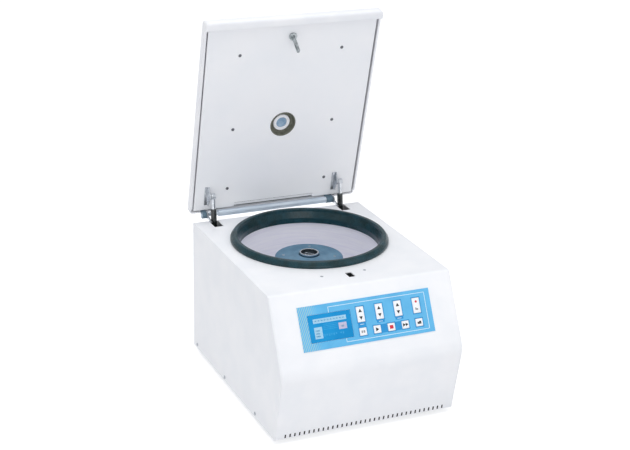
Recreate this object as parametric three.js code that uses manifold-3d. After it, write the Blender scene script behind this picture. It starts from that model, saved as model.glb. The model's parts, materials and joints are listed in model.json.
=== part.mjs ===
// Bench-top laboratory centrifuge with its lid open, in millimetres, +Z up, front towards -Y.
// The origin is on the surface that the machine stands on, under the middle of its outline.
// Inside the machine group, y = 0 is the middle of the casing's depth and z = 0 is its bottom edge.
import * as THREE from "three";
import { mergeVertices } from "three/addons/utils/BufferGeometryUtils.js";
import Module from "manifold-3d";

const wasm = await Module();
wasm.setup();

// ---------- driving dimensions ----------
const degrees = Math.PI / 180;
const seat = 0.2; // gap between pieces that are screwed or clipped together
const turnedSeat = 0.3; // the same gap inside a turned group
const running = 0.3; // radial gap round a turning or sliding piece
const roundSteps = 16; // sides of a small round piece
const bigRoundSteps = 48; // sides of the chamber's round pieces

const casing = { width: 370, depth: 474, height: 272, sheet: 2 };
const front = { toeSetback: 28, noseOverhang: 2.4, noseHeight: 139, noseRadius: 45, browSetback: 70.1, browRadius: 6 };
const foot = { height: 10, radius: 16, insetX: 45, insetFront: 72, insetRear: 42 };
const base = { drop: 3, sheet: 2.5, flange: 20, frontGap: 4 };
const vents = { count: 35, width: 3, height: 8, pitch: 9.6, sill: 1.5 };
const sideScrew = { fromRear: [22, 185, 350], height: 9, headRadius: 3.6, headHeight: 1.6, shankRadius: 1.9, length: 7 };

const chamber = { fromRear: 168.7, radius: 142.5, wall: 1.5, floor: 150, flange: 13, openingRoom: 7.5 };
const pedestal = { footRadius: 84, topRadius: 65, top: 228, holeRadius: 29 };
const gasket = { width: 14, wallRoom: 0.5, lipHeight: 12.6, skirtDepth: 17.5, skirtThickness: 3.8 };
const guard = { bowlRoom: 3, wall: 4, topRoom: 10, windowWidth: 70, windowHeight: 34, windowSill: 16 };
const boot = { skirt: 8, rubber: 2, rise: 6.4, crownRadius: 30, holeRadius: 20.4, collar: 3.2 };
const hub = { radius: 19.2, top: 245.4, bottom: 232, boreRadius: 12, boreDepth: 8, keyWidth: 5, keyReach: 15.5 };
const shaft = { radius: 10, endRadius: 8, bottom: 34, socketDepth: 4, coreRadius: 38, coreBottom: 70, coreTop: 170 };
const motor = { radius: 52, wall: 6, bottom: 24, top: 205, neckRadius: 26, neckTop: 222, flangeRadius: 62, flange: 6 };
const damper = { innerRadius: 40, outerRadius: 60 };

const overlay = { width: 267.7, height: 82, fromBrow: 28, thickness: 0.6 };
const window1 = { left: -116.4, width: 85, fromBrow: 45.3, height: 50.6, ledge: 4 };
const keyPlan = { proud: 0.7, travel: 0.5, gap: 0.35, hole: 1, tallWidth: 14.7, tallHeight: 28.4, square: 14.2 };
const tallKeys = { fromBrow: 57.3, firstX: -11.6, pitch: 38.3 };
const squareKeys = { fromBrow: 89.4, firstX: -11.9, pitch: 28.9 };
const board = { depth: 7.6, thickness: 1.6, moduleHeight: 4.4, postRadius: 3, edge: 6 };

const latch = { slotWidth: 13, slotLength: 23, x: -1.5, fromStriker: 12.4, wall: 3.5, boltRoom: 30, height: 32 };
const bolt = { radius: 2.5, length: 22, clearOfSlot: 0.5 };

const lid = { angle: 76.36, length: 433.5, rise: 6.86, gapToPanel: 7.5, top: 15, rim: 2, wall: 4, topWall: 2.5 };
const nose = { drop: 9, depth: 18.2, radius: 12, lowerRadius: 6, wall: 4.2, floor: 7 };
const lidRear = { overhang: 0.5, wall: 3.5, bottom: 9.5, radius: 6, relief: 12, cornerRadius: 8 };
const panel = { halfWidth: 177.3, length: 407, sheet: 1.5, notchLeft: -90, notchRight: 87, notchDepth: 9 };
const panelBoss = { x: 108, rows: [46, 184.6, 349.2], radius: 5 };
const rail = { halfWidth: 110, depth: 10, gap: 2 };
const viewPort = { row: 185, tubeRadius: 27.2, tubeWall: 1.6, plugRadius: 17.6, plugBore: 11.4, plugDepth: 5, lens: 3 };
const striker = { row: 382.5, lean: 16, length: 36, width: 8.4, sheet: 3, collarRadius: 8, collarHeight: 4 };
const strikerWindow = { width: 6, length: 13, fromTip: 2.2 };

const hinge = { fromRear: 14.6, aboveTop: 8.1, barRadius: 6.7, barStart: 25.6, pinRadius: 4, knuckleRadius: 7.5, armEye: 7.8 };
const hingeArm = { sheet: 3, reachDown: 82, depth: 12, frontRise: 2, waistRise: 0.8 };
const knuckle = { leftOuter: 9, rightInner: 14.5, leaf: 3, leafTop: 16 };
const strut = { x: 141.5, pivotRow: 37.3, pivotDrop: 10.5, footFromRear: 25, footHeight: 75 };
const strutSlot = { left: 10.5, right: 8.5, frontFromRear: 39.4 };
const strutNotch = { below: 14, room: 0.8 };
const tube = { radius: 6, fitting: 28, length: 125, eyeRadius: 6, eyeWidth: 9, shankRadius: 4, bore: 2.9, plug: 6 };
const rod = { radius: 2.5, length: 155, eyeWall: 4, eyeWidth: 6, pinRadius: 3 };
const bracket = { left: 15, ear: 2.2, earGap: 0.9, sheet: 2, rowStart: 13, rowEnd: 55, earRadius: 6, pinRadius: 2.5 };
const anchor = { gap: 10.5, sheet: 3, depth: 24, top: 92, flange: 18 };

const fan = { size: 60, depth: 25, x: 95, height: 46, ring: 27, hubRadius: 13, blades: 7, bladeSheet: 2, tip: 1.2 };
const grille = { slots: 9, width: 3.2, pitch: 5.8 };
const entry = { x: -97, height: 56, width: 50, tall: 27, lip: 3, lipSheet: 2.5, depth: 22 };
const socket = { x: -11, width: 24, tall: 17, depth: 15, pin: 2, pinLength: 8, pinSpread: 7 };
const rocker = { x: 15, width: 12, tall: 20, depth: 9, gap: 0.8, tilt: 8, proud: 3 };
const driveBoard = { width: 230, depth: 78, thickness: 1.6, height: 20, frontGap: 14, postRadius: 4 };
const heatSink = { width: 90, depth: 44, height: 46, fins: 8, fin: 2.5, floor: 5 };

// ---------- places worked out from them ----------
const halfWidth = casing.width / 2;
const rearY = casing.depth / 2;
const innerHalf = halfWidth - casing.sheet - seat;
const innerRear = rearY - casing.sheet - seat;
const plateBottom = casing.height - casing.sheet;
const baseTop = base.drop + base.sheet;
const chamberY = rearY - chamber.fromRear;
const openingRadius = chamber.radius + chamber.openingRoom;
const sharpNoseY = -rearY - front.noseOverhang; // where the front and the slope would meet without their bend
const browY = sharpNoseY + front.browSetback;
const slope = Math.atan2(casing.height - front.noseHeight, front.browSetback);
const hingeY = rearY + hinge.fromRear;
const hingeZ = casing.height + hinge.aboveTop;
const open = -lid.angle * degrees;

// Rows run down the lid's inner panel from its hinge edge, and drops run down from it when it is shut.
const rowY = (row) => -lid.gapToPanel - row;
const dropZ = (drop) => lid.rise - drop;
const slotY = hingeY + rowY(striker.row) + latch.fromStriker;

// Each strut runs from its foot pin in the casing to its pivot on the lid.
const strutFoot = new THREE.Vector2(rearY - strut.footFromRear, strut.footHeight);
const pivotY = rowY(strut.pivotRow);
const pivotZ = dropZ(strut.pivotDrop);
function pivotAt(lidAngle) {
  const place = new THREE.Vector2(pivotY, pivotZ).rotateAround(new THREE.Vector2(), lidAngle);
  return place.add(new THREE.Vector2(hingeY, hingeZ));
}
const openLine = pivotAt(open).sub(strutFoot);
const closedLine = pivotAt(0).sub(strutFoot);
const strutTurn = closedLine.angle() - openLine.angle();
const strutStroke = openLine.length() - closedLine.length();
const strutClearsPanel = rearY - casing.sheet - tube.radius - strutFoot.x;
const notchBottom = strutFoot.y + (strutClearsPanel * openLine.y) / openLine.x - strutNotch.below;

// ---------- shape helpers ----------
// Turns a three.js geometry into a solid that can be cut and joined.
function solid(geometry) {
  const plain = geometry.index ? geometry.toNonIndexed() : geometry.clone();
  plain.deleteAttribute("normal");
  plain.deleteAttribute("uv");
  const merged = mergeVertices(plain, 1e-3);
  const vertProperties = new Float32Array(merged.attributes.position.array);
  const triVerts = new Uint32Array(merged.index.array);
  return new wasm.Manifold(new wasm.Mesh({ numProp: 3, vertProperties, triVerts }));
}

function box(x0, x1, y0, y1, z0, z1) {
  const geometry = new THREE.BoxGeometry(x1 - x0, y1 - y0, z1 - z0);
  return solid(geometry.translate((x0 + x1) / 2, (y0 + y1) / 2, (z0 + z1) / 2));
}

// A solid of revolution about Z. The profile is a closed loop of [radius, z] points.
function turned(profile, x, y, steps = bigRoundSteps) {
  const points = [...profile, profile[0]].map(([r, z]) => new THREE.Vector2(r, z));
  if (THREE.ShapeUtils.isClockWise(points)) {
    points.reverse();
  }
  const geometry = new THREE.LatheGeometry(points, steps).rotateX(Math.PI / 2);
  return solid(geometry.translate(x, y, 0));
}

function cylinder(radius, z0, z1, x, y, steps = roundSteps) {
  const geometry = new THREE.CylinderGeometry(radius, radius, z1 - z0, steps).rotateX(Math.PI / 2);
  return solid(geometry.translate(x, y, (z0 + z1) / 2));
}

function cylinderX(radius, x0, x1, y, z, steps = roundSteps) {
  const geometry = new THREE.CylinderGeometry(radius, radius, x1 - x0, steps).rotateZ(Math.PI / 2);
  return solid(geometry.translate((x0 + x1) / 2, y, z));
}

function cylinderY(radius, y0, y1, x, z, steps = roundSteps) {
  const geometry = new THREE.CylinderGeometry(radius, radius, y1 - y0, steps);
  return solid(geometry.translate(x, (y0 + y1) / 2, z));
}

// Extrudes a closed outline of [y, z] points from x0 to x1.
function alongX(outline, x0, x1) {
  const shape = new THREE.Shape(outline.map(([y, z]) => new THREE.Vector2(y, z)));
  const geometry = new THREE.ExtrudeGeometry(shape, { depth: x1 - x0, bevelEnabled: false });
  geometry.applyMatrix4(new THREE.Matrix4().set(0, 0, 1, x0, 1, 0, 0, 0, 0, 1, 0, 0, 0, 0, 0, 1));
  return solid(geometry);
}

// Extrudes a closed outline of [x, y] points from z0 to z1.
function alongZ(outline, z0, z1) {
  const shape = new THREE.Shape(outline.map(([x, y]) => new THREE.Vector2(x, y)));
  const geometry = new THREE.ExtrudeGeometry(shape, { depth: z1 - z0, bevelEnabled: false });
  return solid(geometry.translate(0, 0, z0));
}

// Replaces each [a, b, radius] corner of a path by an arc; a radius of 0 keeps the corner.
function rounded(corners, closed, steps = 6) {
  const points = [];
  const count = corners.length;
  corners.forEach(([a, b, radius = 0], i) => {
    const isEnd = !closed && (i === 0 || i === count - 1);
    if (radius === 0 || isEnd) {
      points.push([a, b]);
      return;
    }
    const here = new THREE.Vector2(a, b);
    const before = new THREE.Vector2(...corners[(i + count - 1) % count]).sub(here).normalize();
    const after = new THREE.Vector2(...corners[(i + 1) % count]).sub(here).normalize();
    const half = Math.acos(before.dot(after)) / 2;
    const centre = before.clone().add(after).normalize().multiplyScalar(radius / Math.sin(half)).add(here);
    const start = before.clone().multiplyScalar(radius / Math.tan(half)).add(here).sub(centre);
    const turn = Math.sign(before.cross(after)) * (Math.PI - 2 * half);
    for (let k = 0; k <= steps; k++) {
      const spoke = start.clone().rotateAround(new THREE.Vector2(), (-turn * k) / steps).add(centre);
      points.push([spoke.x, spoke.y]);
    }
  });
  return points;
}

// The same open path moved sideways, to the right of its direction, by a distance.
function offset(path, distance) {
  return path.map((point, i) => {
    const here = new THREE.Vector2(...point);
    const last = new THREE.Vector2(...(path[i - 1] ?? point));
    const next = new THREE.Vector2(...(path[i + 1] ?? point));
    const into = here.clone().sub(last).normalize();
    const out = next.clone().sub(here).normalize();
    const mean = into.clone().add(out).normalize();
    const edge = i === 0 ? out : into;
    const stretch = 1 / Math.abs(mean.dot(edge));
    return [here.x + mean.y * distance * stretch, here.y - mean.x * distance * stretch];
  });
}

const machine = new THREE.Group();
const keypad = new THREE.Group();
const lidGroup = new THREE.Group();
machine.add(keypad, lidGroup);

function finish(color, roughness, metalness) {
  return new THREE.MeshStandardMaterial({ color, roughness, metalness });
}

// Makes a solid into a named mesh in a group, with a material of its own.
function addPiece(group, name, shape, color, roughness = 0.5, metalness = 0) {
  const { vertProperties, triVerts, numProp } = shape.getMesh();
  const geometry = new THREE.BufferGeometry();
  const positions = new Float32Array((vertProperties.length / numProp) * 3);
  for (let i = 0; i < positions.length / 3; i++) {
    positions.set(vertProperties.subarray(i * numProp, i * numProp + 3), i * 3);
  }
  geometry.setAttribute("position", new THREE.BufferAttribute(positions, 3));
  geometry.setIndex(new THREE.BufferAttribute(new Uint32Array(triVerts), 1));
  geometry.computeVertexNormals();
  const mesh = new THREE.Mesh(geometry, finish(color, roughness, metalness));
  mesh.name = name;
  group.add(mesh);
  return mesh;
}

const white = 0xf2f3f6;
const steel = 0xb9bec4;
const bright = 0xd5d9dd;
const blackPlastic = 0x1b1d20;
const rubber = 0x2f4a4c;
const sides = [["left", -1], ["right", 1]];

// ---------- casing: bent cover, side panels, rear panel, base pan ----------
const frontPath = rounded(
  [
    [-rearY + front.toeSetback, 0],
    [sharpNoseY, front.noseHeight, front.noseRadius],
    [browY, casing.height, front.browRadius],
    [rearY - casing.sheet, casing.height],
  ],
  false,
);

function makeCover() {
  const sheetOutline = [...frontPath, ...offset(frontPath, casing.sheet).reverse()];
  let cover = alongX(sheetOutline, -innerHalf, innerHalf);
  const above = casing.height + 1;
  cover = cover.subtract(cylinder(openingRadius, plateBottom - 1, above, 0, chamberY, bigRoundSteps));
  cover = cover.subtract(
    box(
      latch.x - latch.slotWidth / 2,
      latch.x + latch.slotWidth / 2,
      slotY - latch.slotLength / 2,
      slotY + latch.slotLength / 2,
      plateBottom - 1,
      above,
    ),
  );
  sides.forEach(([, side]) => {
    const x = side * strut.x;
    const slotFront = rearY - strutSlot.frontFromRear;
    const slot = box(x - strutSlot.left, x + strutSlot.right, slotFront, rearY, plateBottom - 1, above);
    cover = cover.subtract(slot);
  });
  const toeY = -rearY + front.toeSetback;
  for (let i = 0; i < vents.count; i++) {
    const x = (i - (vents.count - 1) / 2) * vents.pitch;
    const top = vents.sill + vents.height;
    cover = cover.subtract(
      box(x - vents.width / 2, x + vents.width / 2, toeY - 10, toeY + 10, vents.sill, top),
    );
  }
  return cover;
}

// The keypad's own frame lies on the slope: x across, y up the slope, z out of it.
keypad.position.set(0, browY, casing.height);
keypad.rotation.x = slope;

function slopeBox(x0, x1, down0, down1, z0, z1) {
  return box(x0, x1, -down1, -down0, z0, z1);
}

function onSlope(shape) {
  keypad.updateMatrix();
  return shape.transform(keypad.matrix.elements);
}

function windowBox(inset, z0, z1) {
  return slopeBox(
    window1.left + inset,
    window1.left + window1.width - inset,
    window1.fromBrow + inset,
    window1.fromBrow + window1.height - inset,
    z0,
    z1,
  );
}

function keyBox(key, grow, z0, z1) {
  const halfX = key.width / 2 + grow;
  const halfY = key.height / 2 + grow;
  return slopeBox(key.x - halfX, key.x + halfX, key.down - halfY, key.down + halfY, z0, z1);
}

const keys = [];
["speed_key", "time_key", "temperature_key", "lamp_key"].forEach((name, i) => {
  const x = tallKeys.firstX + i * tallKeys.pitch;
  const size = { width: keyPlan.tallWidth, height: keyPlan.tallHeight };
  keys.push({ name, x, down: tallKeys.fromBrow, rocks: name !== "lamp_key", ...size });
});
["light_key", "start_key", "stop_key", "short_run_key", "lid_key"].forEach((name, i) => {
  const x = squareKeys.firstX + i * squareKeys.pitch;
  keys.push({ name, x, down: squareKeys.fromBrow, width: keyPlan.square, height: keyPlan.square });
});

function cutKeypadOpenings(cover) {
  let cut = cover.subtract(onSlope(windowBox(window1.ledge, -5, 5)));
  keys.forEach((key) => {
    cut = cut.subtract(onSlope(keyBox(key, keyPlan.hole, -5, 5)));
  });
  return cut;
}

addPiece(machine, "front_cover", cutKeypadOpenings(makeCover()), white, 0.35);

const sideOutline = [...frontPath.slice(0, -1), [rearY, casing.height], [rearY, 0]];
const screwPlaces = sideScrew.fromRear.map((distance) => rearY - distance);

sides.forEach(([label, side]) => {
  const inner = side * (halfWidth - casing.sheet);
  const outer = side * halfWidth;
  let sheet = alongX(sideOutline, Math.min(inner, outer), Math.max(inner, outer));
  screwPlaces.forEach((y) => {
    sheet = sheet.subtract(cylinderX(sideScrew.shankRadius + seat, -halfWidth - 1, halfWidth + 1, y, sideScrew.height));
  });
  addPiece(machine, `side_panel_${label}`, sheet, white, 0.35);
});

sides.forEach(([label, side]) => {
  screwPlaces.forEach((y, i) => {
    const headSeat = halfWidth + 0.1;
    const profile = [
      [0, headSeat + sideScrew.headHeight],
      [sideScrew.headRadius * 0.75, headSeat + sideScrew.headHeight],
      [sideScrew.headRadius, headSeat + sideScrew.headHeight * 0.4],
      [sideScrew.headRadius, headSeat],
      [sideScrew.shankRadius, headSeat],
      [sideScrew.shankRadius, headSeat - sideScrew.length],
      [0, headSeat - sideScrew.length],
    ];
    const points = profile.map(([r, z]) => new THREE.Vector2(r, z)).reverse();
    const geometry = new THREE.LatheGeometry(points, 12).rotateX(Math.PI / 2);
    geometry.rotateY((side * Math.PI) / 2).translate(0, y, sideScrew.height);
    addPiece(machine, `side_screw_${label}_${i + 1}`, solid(geometry), steel, 0.3, 1);
  });
});

function makeBasePan() {
  const frontY = -rearY + front.toeSetback + base.frontGap;
  let pan = box(-innerHalf, innerHalf, frontY, innerRear, base.drop, baseTop);
  sides.forEach(([, side]) => {
    const a = side * innerHalf;
    const b = side * (innerHalf - base.sheet);
    pan = pan.add(box(Math.min(a, b), Math.max(a, b), frontY, innerRear, base.drop, baseTop + base.flange));
  });
  screwPlaces.forEach((y) => {
    pan = pan.subtract(cylinderX(sideScrew.shankRadius + seat, -halfWidth, halfWidth, y, sideScrew.height));
  });
  return pan;
}
addPiece(machine, "base_pan", makeBasePan(), steel, 0.45, 0.8);

function makeRearPanel() {
  let sheet = box(-innerHalf, innerHalf, rearY - casing.sheet, rearY, base.drop, plateBottom - seat);
  const reach = fan.ring - 2;
  for (let i = 0; i < grille.slots; i++) {
    const across = (i - (grille.slots - 1) / 2) * grille.pitch;
    const tall = Math.sqrt(Math.max(reach * reach - across * across, 0));
    const x = fan.x + across;
    sheet = sheet.subtract(
      box(x - grille.width / 2, x + grille.width / 2, rearY - 5, rearY + 5, fan.height - tall, fan.height + tall),
    );
  }
  sides.forEach(([, side]) => {
    const x = side * strut.x;
    const left = x - tube.radius - strutNotch.room;
    const right = x + tube.radius + strutNotch.room;
    sheet = sheet.subtract(box(left, right, rearY - 5, rearY + 5, notchBottom, casing.height));
  });
  const halfEntry = entry.width / 2 + seat;
  const tallEntry = entry.tall / 2 + seat;
  return sheet.subtract(
    box(entry.x - halfEntry, entry.x + halfEntry, rearY - 5, rearY + 5, entry.height - tallEntry, entry.height + tallEntry),
  );
}
addPiece(machine, "rear_panel", makeRearPanel(), white, 0.35);

const footPlaces = [
  ["front_left", -1, -rearY + foot.insetFront],
  ["front_right", 1, -rearY + foot.insetFront],
  ["rear_left", -1, rearY - foot.insetRear],
  ["rear_right", 1, rearY - foot.insetRear],
];
footPlaces.forEach(([label, side, y]) => {
  const top = base.drop - seat;
  const profile = [
    [0, -foot.height + 3],
    [4, -foot.height + 3],
    [4, -foot.height],
    [foot.radius - 2, -foot.height],
    [foot.radius, -foot.height + 2],
    [foot.radius - 1.5, top],
    [0, top],
  ];
  addPiece(machine, `foot_${label}`, turned(profile, side * (halfWidth - foot.insetX), y, 24), blackPlastic, 0.9);
});

// ---------- chamber: bowl, gasket, guard ring, drive boot ----------
const bowlOuter = chamber.radius + chamber.wall;
const bowlBend = 12;
const flangeTop = plateBottom - seat;

function makeBowl() {
  const wall = chamber.wall;
  const insidePath = rounded(
    [
      [pedestal.holeRadius, pedestal.top],
      [pedestal.topRadius, pedestal.top, 4],
      [pedestal.footRadius, chamber.floor, bowlBend],
      [chamber.radius, chamber.floor, bowlBend],
      [chamber.radius, flangeTop - 0.01],
    ],
    false,
    3,
  );
  const outsidePath = offset(insidePath, wall).reverse();
  outsidePath.shift();
  const profile = [
    ...insidePath,
    [chamber.radius, flangeTop],
    [bowlOuter + chamber.flange, flangeTop],
    [bowlOuter + chamber.flange, flangeTop - wall],
    [bowlOuter, flangeTop - wall],
    ...outsidePath,
  ];
  return turned(profile, 0, chamberY);
}
addPiece(machine, "chamber_bowl", makeBowl(), 0xd4d7de, 0.3, 0.9);

function makeGasket() {
  const plate = casing.height + seat;
  const lip = casing.height + gasket.lipHeight;
  const gripRadius = openingRadius - seat;
  const skirtBottom = casing.height - gasket.skirtDepth;
  const skirtOuter = chamber.radius - running;
  const skirtInner = skirtOuter - gasket.skirtThickness;
  const lipInner = chamber.radius + gasket.wallRoom;
  const lipOuter = lipInner + gasket.width;
  const profile = [
    [skirtInner, skirtBottom],
    ...rounded(
      [
        [skirtInner, skirtBottom],
        [lipInner, lip, 3],
        [lipOuter, lip, 7],
        [lipOuter, plate],
      ],
      false,
      4,
    ).slice(1),
    [gripRadius, plate],
    [gripRadius, flangeTop + seat],
    [skirtOuter, flangeTop + seat],
    [skirtOuter, skirtBottom],
  ];
  return turned(profile, 0, chamberY);
}
addPiece(machine, "chamber_gasket", makeGasket(), rubber, 0.55);

function makeGuard() {
  const inner = bowlOuter + guard.bowlRoom;
  const outer = inner + guard.wall;
  const top = casing.height - guard.topRoom;
  const bottom = baseTop + seat;
  const profile = [
    [inner, bottom],
    [outer, bottom],
    [outer, top],
    [inner, top],
  ];
  let ring = turned(profile, 0, chamberY);
  const sill = baseTop + guard.windowSill;
  const half = guard.windowWidth / 2;
  const reach = outer + 5;
  ring = ring.subtract(box(-half, half, chamberY - reach, chamberY + reach, sill, sill + guard.windowHeight));
  return ring.subtract(box(-reach, reach, chamberY - half, chamberY + half, sill, sill + guard.windowHeight));
}
addPiece(machine, "guard_ring", makeGuard(), steel, 0.5, 0.9);

function makeBoot() {
  const onTop = pedestal.top + seat;
  const crown = onTop + boot.rubber + boot.rise;
  const inner = pedestal.topRadius + 2 * running;
  const outer = inner + boot.rubber;
  const flare = (pedestal.footRadius - pedestal.topRadius) / (pedestal.top - chamber.floor);
  const flared = boot.skirt * flare;
  const profile = [
    [inner + flared, pedestal.top - boot.skirt],
    [outer + flared, pedestal.top - boot.skirt],
    [outer, crown - 2],
    [outer - 2, crown],
    [boot.crownRadius, crown + 1.6],
    [boot.holeRadius + 4, crown + boot.collar],
    [boot.holeRadius, crown + boot.collar + 1.2],
    [boot.holeRadius, onTop],
    [inner, onTop],
  ];
  return turned(profile, 0, chamberY, 48);
}
addPiece(machine, "drive_boot", makeBoot(), 0x55799a, 0.5);

// ---------- drive: motor on its rubber ring, turning shaft and hub ----------
function makeMotor() {
  const { radius, wall, bottom, top, neckRadius, neckTop, flangeRadius, flange } = motor;
  const bore = shaft.radius + running;
  const profile = [
    [shaft.endRadius + running, bottom],
    [flangeRadius, bottom],
    [flangeRadius, bottom + flange],
    [radius, bottom + flange],
    [radius, top - 4],
    [radius - 4, top],
    [neckRadius, top],
    [neckRadius, neckTop],
    [bore, neckTop],
    [bore, top - wall],
    [radius - wall, top - wall],
    [radius - wall, bottom + wall],
    [shaft.endRadius + running, bottom + wall],
  ];
  return turned(profile, 0, chamberY, 32);
}
addPiece(machine, "motor_housing", makeMotor(), 0x5d646b, 0.5, 0.7);

const damperProfile = [
  [damper.innerRadius, baseTop + seat],
  [damper.outerRadius, baseTop + seat],
  [damper.outerRadius, motor.bottom - seat],
  [damper.innerRadius, motor.bottom - seat],
];
addPiece(machine, "motor_damper", turned(damperProfile, 0, chamberY, 32), blackPlastic, 0.9);

const shaftTop = hub.bottom + shaft.socketDepth;
const shaftProfile = [
  [0, motor.bottom + 1],
  [shaft.endRadius, motor.bottom + 1],
  [shaft.endRadius, shaft.coreBottom],
  [shaft.coreRadius, shaft.coreBottom],
  [shaft.coreRadius, shaft.coreTop],
  [shaft.radius, shaft.coreTop],
  [shaft.radius, shaftTop],
  [0, shaftTop],
];
addPiece(machine, "drive_shaft", turned(shaftProfile, 0, chamberY, 24), bright, 0.25, 1);

function makeHub() {
  const socketTop = shaftTop + seat;
  const socketRadius = shaft.radius + seat;
  const boreFloor = hub.top - hub.boreDepth;
  const profile = [
    [0, socketTop],
    [socketRadius, socketTop],
    [socketRadius, hub.bottom],
    [hub.radius - 0.8, hub.bottom],
    [hub.radius - 0.8, hub.top - 3],
    [hub.radius, hub.top - 3],
    [hub.radius, hub.top - 0.6],
    [hub.radius - 0.6, hub.top],
    [hub.boreRadius, hub.top],
    [hub.boreRadius, boreFloor],
    [0, boreFloor],
  ];
  const half = hub.keyWidth / 2;
  const key = box(-half, half, chamberY - hub.keyReach, chamberY + hub.keyReach, boreFloor, hub.top + 1);
  return turned(profile, 0, chamberY, 32).subtract(key);
}
addPiece(machine, "drive_hub", makeHub(), bright, 0.25, 1);

// ---------- keypad on the slope: overlay, display window, keys, board ----------
const skin = turnedSeat + overlay.thickness;

function makeOverlay() {
  const half = overlay.width / 2;
  let sheet = slopeBox(-half, half, overlay.fromBrow, overlay.fromBrow + overlay.height, turnedSeat, skin);
  sheet = sheet.subtract(windowBox(-keyPlan.gap, -1, 2));
  keys.forEach((key) => {
    sheet = sheet.subtract(keyBox(key, keyPlan.gap, -1, 2));
  });
  return sheet;
}
addPiece(keypad, "keypad_overlay", makeOverlay(), 0x6ec4f0, 0.4);
addPiece(keypad, "display_window", windowBox(0, turnedSeat, skin), 0x1c2a44, 0.1);

const boardTop = -board.depth;
keys.forEach((key) => {
  const stemBottom = boardTop + keyPlan.travel + turnedSeat;
  const cap = keyBox(key, 0, -casing.sheet, skin + keyPlan.proud);
  const stem = keyBox({ ...key, width: 6, height: 6 }, 0, stemBottom, -casing.sheet);
  addPiece(keypad, key.name, cap.add(stem), white, 0.4);
});

function makeBoard() {
  const { thickness, edge, postRadius, moduleHeight } = board;
  const half = overlay.width / 2 - edge;
  const down0 = overlay.fromBrow + edge;
  const down1 = overlay.fromBrow + overlay.height - edge;
  let plate = slopeBox(-half, half, down0, down1, boardTop - thickness, boardTop);
  plate = plate.add(windowBox(1, boardTop - 0.1, boardTop + moduleHeight));
  [-1, 1].forEach((sx) => {
    [down0 + edge, down1 - edge].forEach((down) => {
      const post = cylinder(postRadius, boardTop - 0.1, -casing.sheet - turnedSeat, sx * (half - edge), -down, 8);
      plate = plate.add(post);
    });
  });
  return plate;
}
addPiece(keypad, "control_board", makeBoard(), 0x2c6b45, 0.6);

// ---------- electronics on the base pan ----------
function makeDriveBoard() {
  const y0 = -rearY + front.toeSetback + driveBoard.frontGap;
  const y1 = y0 + driveBoard.depth;
  const half = driveBoard.width / 2;
  const x0 = -innerHalf + base.sheet + 8;
  const z0 = baseTop + driveBoard.height;
  let plate = box(x0, x0 + 2 * half, y0, y1, z0, z0 + driveBoard.thickness);
  [x0 + 8, x0 + 2 * half - 8].forEach((x) => {
    [y0 + 8, y1 - 8].forEach((y) => {
      plate = plate.add(cylinder(driveBoard.postRadius, baseTop + seat, z0 + 0.1, x, y, 8));
    });
  });
  const sinkX = x0 + half - heatSink.width / 2;
  const sinkZ = z0 + driveBoard.thickness;
  const sinkY = y0 + (driveBoard.depth - heatSink.depth) / 2;
  plate = plate.add(box(sinkX, sinkX + heatSink.width, sinkY, sinkY + heatSink.depth, sinkZ - 0.1, sinkZ + heatSink.floor));
  for (let i = 0; i < heatSink.fins; i++) {
    const x = sinkX + (i * (heatSink.width - heatSink.fin)) / (heatSink.fins - 1);
    plate = plate.add(box(x, x + heatSink.fin, sinkY, sinkY + heatSink.depth, sinkZ, sinkZ + heatSink.height));
  }
  return plate;
}
addPiece(machine, "drive_board", makeDriveBoard(), 0x2c6b45, 0.6);

// ---------- rear: fan, mains entry and its switch ----------
function makeFanFrame() {
  const half = fan.size / 2;
  const back = rearY - casing.sheet - seat;
  const { x, height, ring, hubRadius } = fan;
  let frame = box(x - half, x + half, back - fan.depth, back, height - half, height + half);
  frame = frame.subtract(cylinderY(ring, back - fan.depth - 1, back + 1, x, height, 32));
  const spokeY = back - 3;
  frame = frame.add(cylinderY(hubRadius, spokeY, back, x, height, 20));
  frame = frame.add(box(x - ring - 1, x + ring + 1, spokeY, back, height - 2, height + 2));
  frame = frame.add(box(x - 2, x + 2, spokeY, back, height - ring - 1, height + ring + 1));
  return frame;
}
addPiece(machine, "fan_frame", makeFanFrame(), blackPlastic, 0.6);

function makeFanRotor() {
  const back = rearY - casing.sheet - seat - 3 - running;
  const frontFace = back - fan.depth + 6;
  let rotor = cylinderY(fan.hubRadius, frontFace, back, fan.x, fan.height, 20);
  for (let i = 0; i < fan.blades; i++) {
    const blade = new THREE.BoxGeometry(fan.ring - fan.tip - fan.hubRadius + 2, back - frontFace - 2, fan.bladeSheet);
    blade.rotateX(30 * degrees).translate((fan.ring - fan.tip + fan.hubRadius - 2) / 2, 0, 0);
    blade.rotateY((i * 2 * Math.PI) / fan.blades).translate(fan.x, (back + frontFace) / 2, fan.height);
    rotor = rotor.add(solid(blade));
  }
  return rotor;
}
addPiece(machine, "fan_rotor", makeFanRotor(), blackPlastic, 0.6);

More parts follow.
